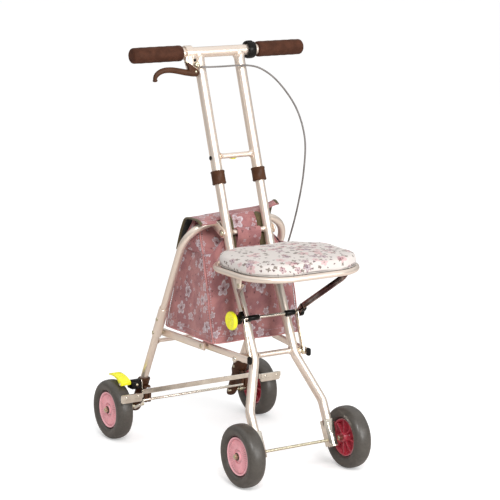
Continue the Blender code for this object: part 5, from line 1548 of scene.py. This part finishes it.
def build_pedal():
    """The yellow parking pedal over the rear left tyre and the black bracket under it."""
    yellow, steel = yellow_plastic(), zinc_steel()
    py, pz = pin = 400, 125
    x_in, x_out = 158.3, 182
    tread = [side_plate("pedal_pad", TREAD, -x_out, x_out - x_in, yellow, 1.6, pin)]
    for u, h in ((15, 12.6), (23.5, 14.4), (32, 15.3), (40.5, 15.3)):
        tread.append(pipe("pedal_rib", [at(-x_out + 4, py + u, pz + h), at(-x_in - 4, py + u, pz + h)], 0.8, yellow,
                          12, ends=0.6))
    join("parking_tread", tread, "pedal", "yellow_plastic", "parking_pedal")
    arm_in, arm_out = REAR_X + 12.3, x_in - 1
    shape = [(-8, -13), (14, -13), (14, -5), (6.5, 5), (3, 6.5), (-4, 6.5), (-8, 2)]
    edge = [at(-arm_in - 1, py + u, pz + v) for u, v in ((-8.8, -12.5), (-8.8, 1.5), (-6.2, 6.2))]
    arm = [side_plate("arm", shape, -arm_out, arm_out - arm_in, black_plastic(), 1.2, pin),
           pipe("arm_pin", [at(-x_out - 1, py, pz), at(5 - arm_out, py, pz)], 1.8, steel, 16),
           studs("arm_heads", [(at(-x_out - 0.8, py, pz), (-1, 0, 0)),
                               (at(-(arm_in + arm_out) / 2, py - 7.8, pz - 4), (0, -1, 0))], steel, 3, 1.4, 16),
           pipe("arm_strip", round_line(edge, [0, 3, 0]), 1.1, chrome(), 12, ends=0.6)]
    join("pedal_arm", arm, "rear_frame", "black_plastic", "pedal_bracket")

# ---- Floor, lights and camera

def soft_light(name, place, aim, size, energy):
    light = new_object(name, bpy.data.lights.new(name, "AREA"))
    light.data.shape, light.data.size, light.data.energy = "DISK", size, energy
    light.location = place
    light.rotation_euler = (Vector(aim) - light.location).to_track_quat("-Z", "Y").to_euler()

def build_stage():
    """A wide pale floor, soft lights and the camera."""
    scene = bpy.context.scene
    studio = scene.walker_studio
    f = Finish("studio_floor", Roughness=0.9, Specular_IOR_Level=0.1)
    rays = f.add("ShaderNodeLightPath").outputs
    feed(f.mat.node_tree, f.shader.inputs["Emission Strength"], f.calc("MULTIPLY", rays["Is Camera Ray"], 0.34))
    pale = f.done(f.mix(rays["Is Glossy Ray"], (0.90, 0.90, 0.90), (0.70, 0.64, 0.60)),
                  f.patch(3, 4, 0.3, 0.7, 0.84, 0.94), None)
    disc = [(0, 0, 0)] + [(a, b, 0) for a, b in circle(48, 30000)]
    mesh_piece("studio_floor", disc, [(0, k + 1, (k + 1) % 48 + 1) for k in range(48)], pale, 80)
    soft_light("key_light", (-1.3, -2.95, 2.8), (0.0, 0.0, 0.40), 1.2, studio.key)
    soft_light("fill_light", (1.0, -3.6, 1.3), (0.0, 0.0, 0.35), 2.0, studio.fill)
    world = bpy.data.worlds.new("even_light")
    world.use_nodes = True
    tree = world.node_tree
    ground, pick = tree.nodes["Background"], add_node(tree, "ShaderNodeMix")
    height = add_node(tree, "ShaderNodeSeparateXYZ", add_node(tree, "ShaderNodeTexCoord").outputs["Generated"])
    ramp = add_node(tree, "ShaderNodeMapRange", Value=height.outputs["Z"], From_Min=-0.10, From_Max=0.75, To_Min=0.16,
                    To_Max=1.25)
    seen = add_node(tree, "ShaderNodeLightPath").outputs["Is Camera Ray"]
    for socket, value in ((pick.inputs[0], seen), (pick.inputs[2], ramp), (pick.inputs[3], 0.95),
                          (ground.inputs["Color"], pick), (ground.inputs["Strength"], studio.sky)):
        feed(tree, socket, value)
    scene.world = world
    scene.view_settings.view_transform = "Standard"
    camera = new_object("camera", bpy.data.cameras.new("camera"))
    camera.data.lens, camera.data.sensor_width = studio.lens, 36.0
    camera.location = (-2.0870, -3.3819, 1.1997)
    camera.rotation_euler = Vector((0.51945, 0.83288, -0.19100)).to_track_quat("-Z", "Y").to_euler()
    scene.camera = camera

# ---- Operators, panel and run

class WALKER_OT_main_frame(bpy.types.Operator):
    """Make the front tubes and their crossbars, brackets, pivot and side braces"""
    bl_idname = "walker.main_frame"
    bl_label = "Main frame"

    def execute(self, context):
        build_main_frame()
        build_braces()
        return {"FINISHED"}

class WALKER_OT_rear_frame(bpy.types.Operator):
    """Make the bent rear tube with its hooks, sleeves and axles"""
    bl_idname = "walker.rear_frame"
    bl_label = "Rear frame"

    def execute(self, context):
        build_rear_frame()
        return {"FINISHED"}

class WALKER_OT_wheels(bpy.types.Operator):
    """Make the four wheels with their tyres, flutes and webs"""
    bl_idname = "walker.wheels"
    bl_label = "Wheels"

    def execute(self, context):
        build_wheels()
        return {"FINISHED"}

class WALKER_OT_seat(bpy.types.Operator):
    """Make the seat's hoop, its saddles and board and the padded cushion"""
    bl_idname = "walker.seat"
    bl_label = "Seat"

    def execute(self, context):
        build_seat_frame()
        build_cushion()
        return {"FINISHED"}

class WALKER_OT_linkage(bpy.types.Operator):
    """Make the struts, the lower links, the knuckles, the rod's clips and the release knob"""
    bl_idname = "walker.linkage"
    bl_label = "Folding linkage"

    def execute(self, context):
        build_linkage()
        return {"FINISHED"}

class WALKER_OT_bag(bpy.types.Operator):
    """Make the cloth bag with its cheek, gusset, lid, piping and strap"""
    bl_idname = "walker.bag"
    bl_label = "Bag"

    def execute(self, context):
        build_bag()
        build_cheek()
        build_gusset()
        build_lid()
        build_strap()
        return {"FINISHED"}

class WALKER_OT_handle(bpy.types.Operator):
    """Make the telescopic handle with its grips, clip, collars and button"""
    bl_idname = "walker.handle"
    bl_label = "Handle"

    def execute(self, context):
        build_handle()
        return {"FINISHED"}

class WALKER_OT_lever(bpy.types.Operator):
    """Make the brake lever, its clamp and the cable down to the rear foot"""
    bl_idname = "walker.lever"
    bl_label = "Brake lever and cable"

    def execute(self, context):
        build_lever()
        build_cable()
        return {"FINISHED"}

class WALKER_OT_brakes(bpy.types.Operator):
    """Make the brake housings, the pressing bar, the tie rod and the pedal"""
    bl_idname = "walker.brakes"
    bl_label = "Brakes"

    def execute(self, context):
        build_brakes()
        build_pedal()
        return {"FINISHED"}

class WALKER_OT_stage(bpy.types.Operator):
    """Make the floor, the lights and the camera"""
    bl_idname = "walker.stage"
    bl_label = "Stage"

    def execute(self, context):
        build_stage()
        return {"FINISHED"}

ORDER = ("main_frame", "rear_frame", "wheels", "seat", "linkage", "bag", "handle", "lever", "brakes", "stage")

class WALKER_PT_panel(bpy.types.Panel):
    """Lists the walker's pieces, sizes and colours"""
    bl_idname = "WALKER_PT_panel"
    bl_label = "Shopping walker"
    bl_space_type = "VIEW_3D"
    bl_region_type = "UI"
    bl_category = "Walker"

    def draw(self, context):
        column = self.layout.column(align=True)
        for word in ORDER:
            column.operator("walker." + word)
        for group in (context.scene.walker_sizes, context.scene.walker_colours, context.scene.walker_studio):
            box = self.layout.box().column(align=True)
            for word in group.__annotations__:
                box.prop(group, word)

CLASSES = (WalkerColours, WalkerSizes, WalkerStudio, WALKER_OT_main_frame, WALKER_OT_rear_frame, WALKER_OT_wheels,
           WALKER_OT_seat, WALKER_OT_linkage, WALKER_OT_bag, WALKER_OT_handle, WALKER_OT_lever, WALKER_OT_brakes,
           WALKER_OT_stage, WALKER_PT_panel)

def register():
    for kind in CLASSES:
        bpy.utils.register_class(kind)
    bpy.types.Scene.walker_colours = bpy.props.PointerProperty(type=WalkerColours)
    bpy.types.Scene.walker_sizes = bpy.props.PointerProperty(type=WalkerSizes)
    bpy.types.Scene.walker_studio = bpy.props.PointerProperty(type=WalkerStudio)

def unregister():
    del bpy.types.Scene.walker_studio, bpy.types.Scene.walker_sizes, bpy.types.Scene.walker_colours
    for kind in reversed(CLASSES):
        bpy.utils.unregister_class(kind)

def main():
    register()
    for word in ORDER:
        getattr(bpy.ops.walker, word)()

if __name__ == "__main__":
    main()
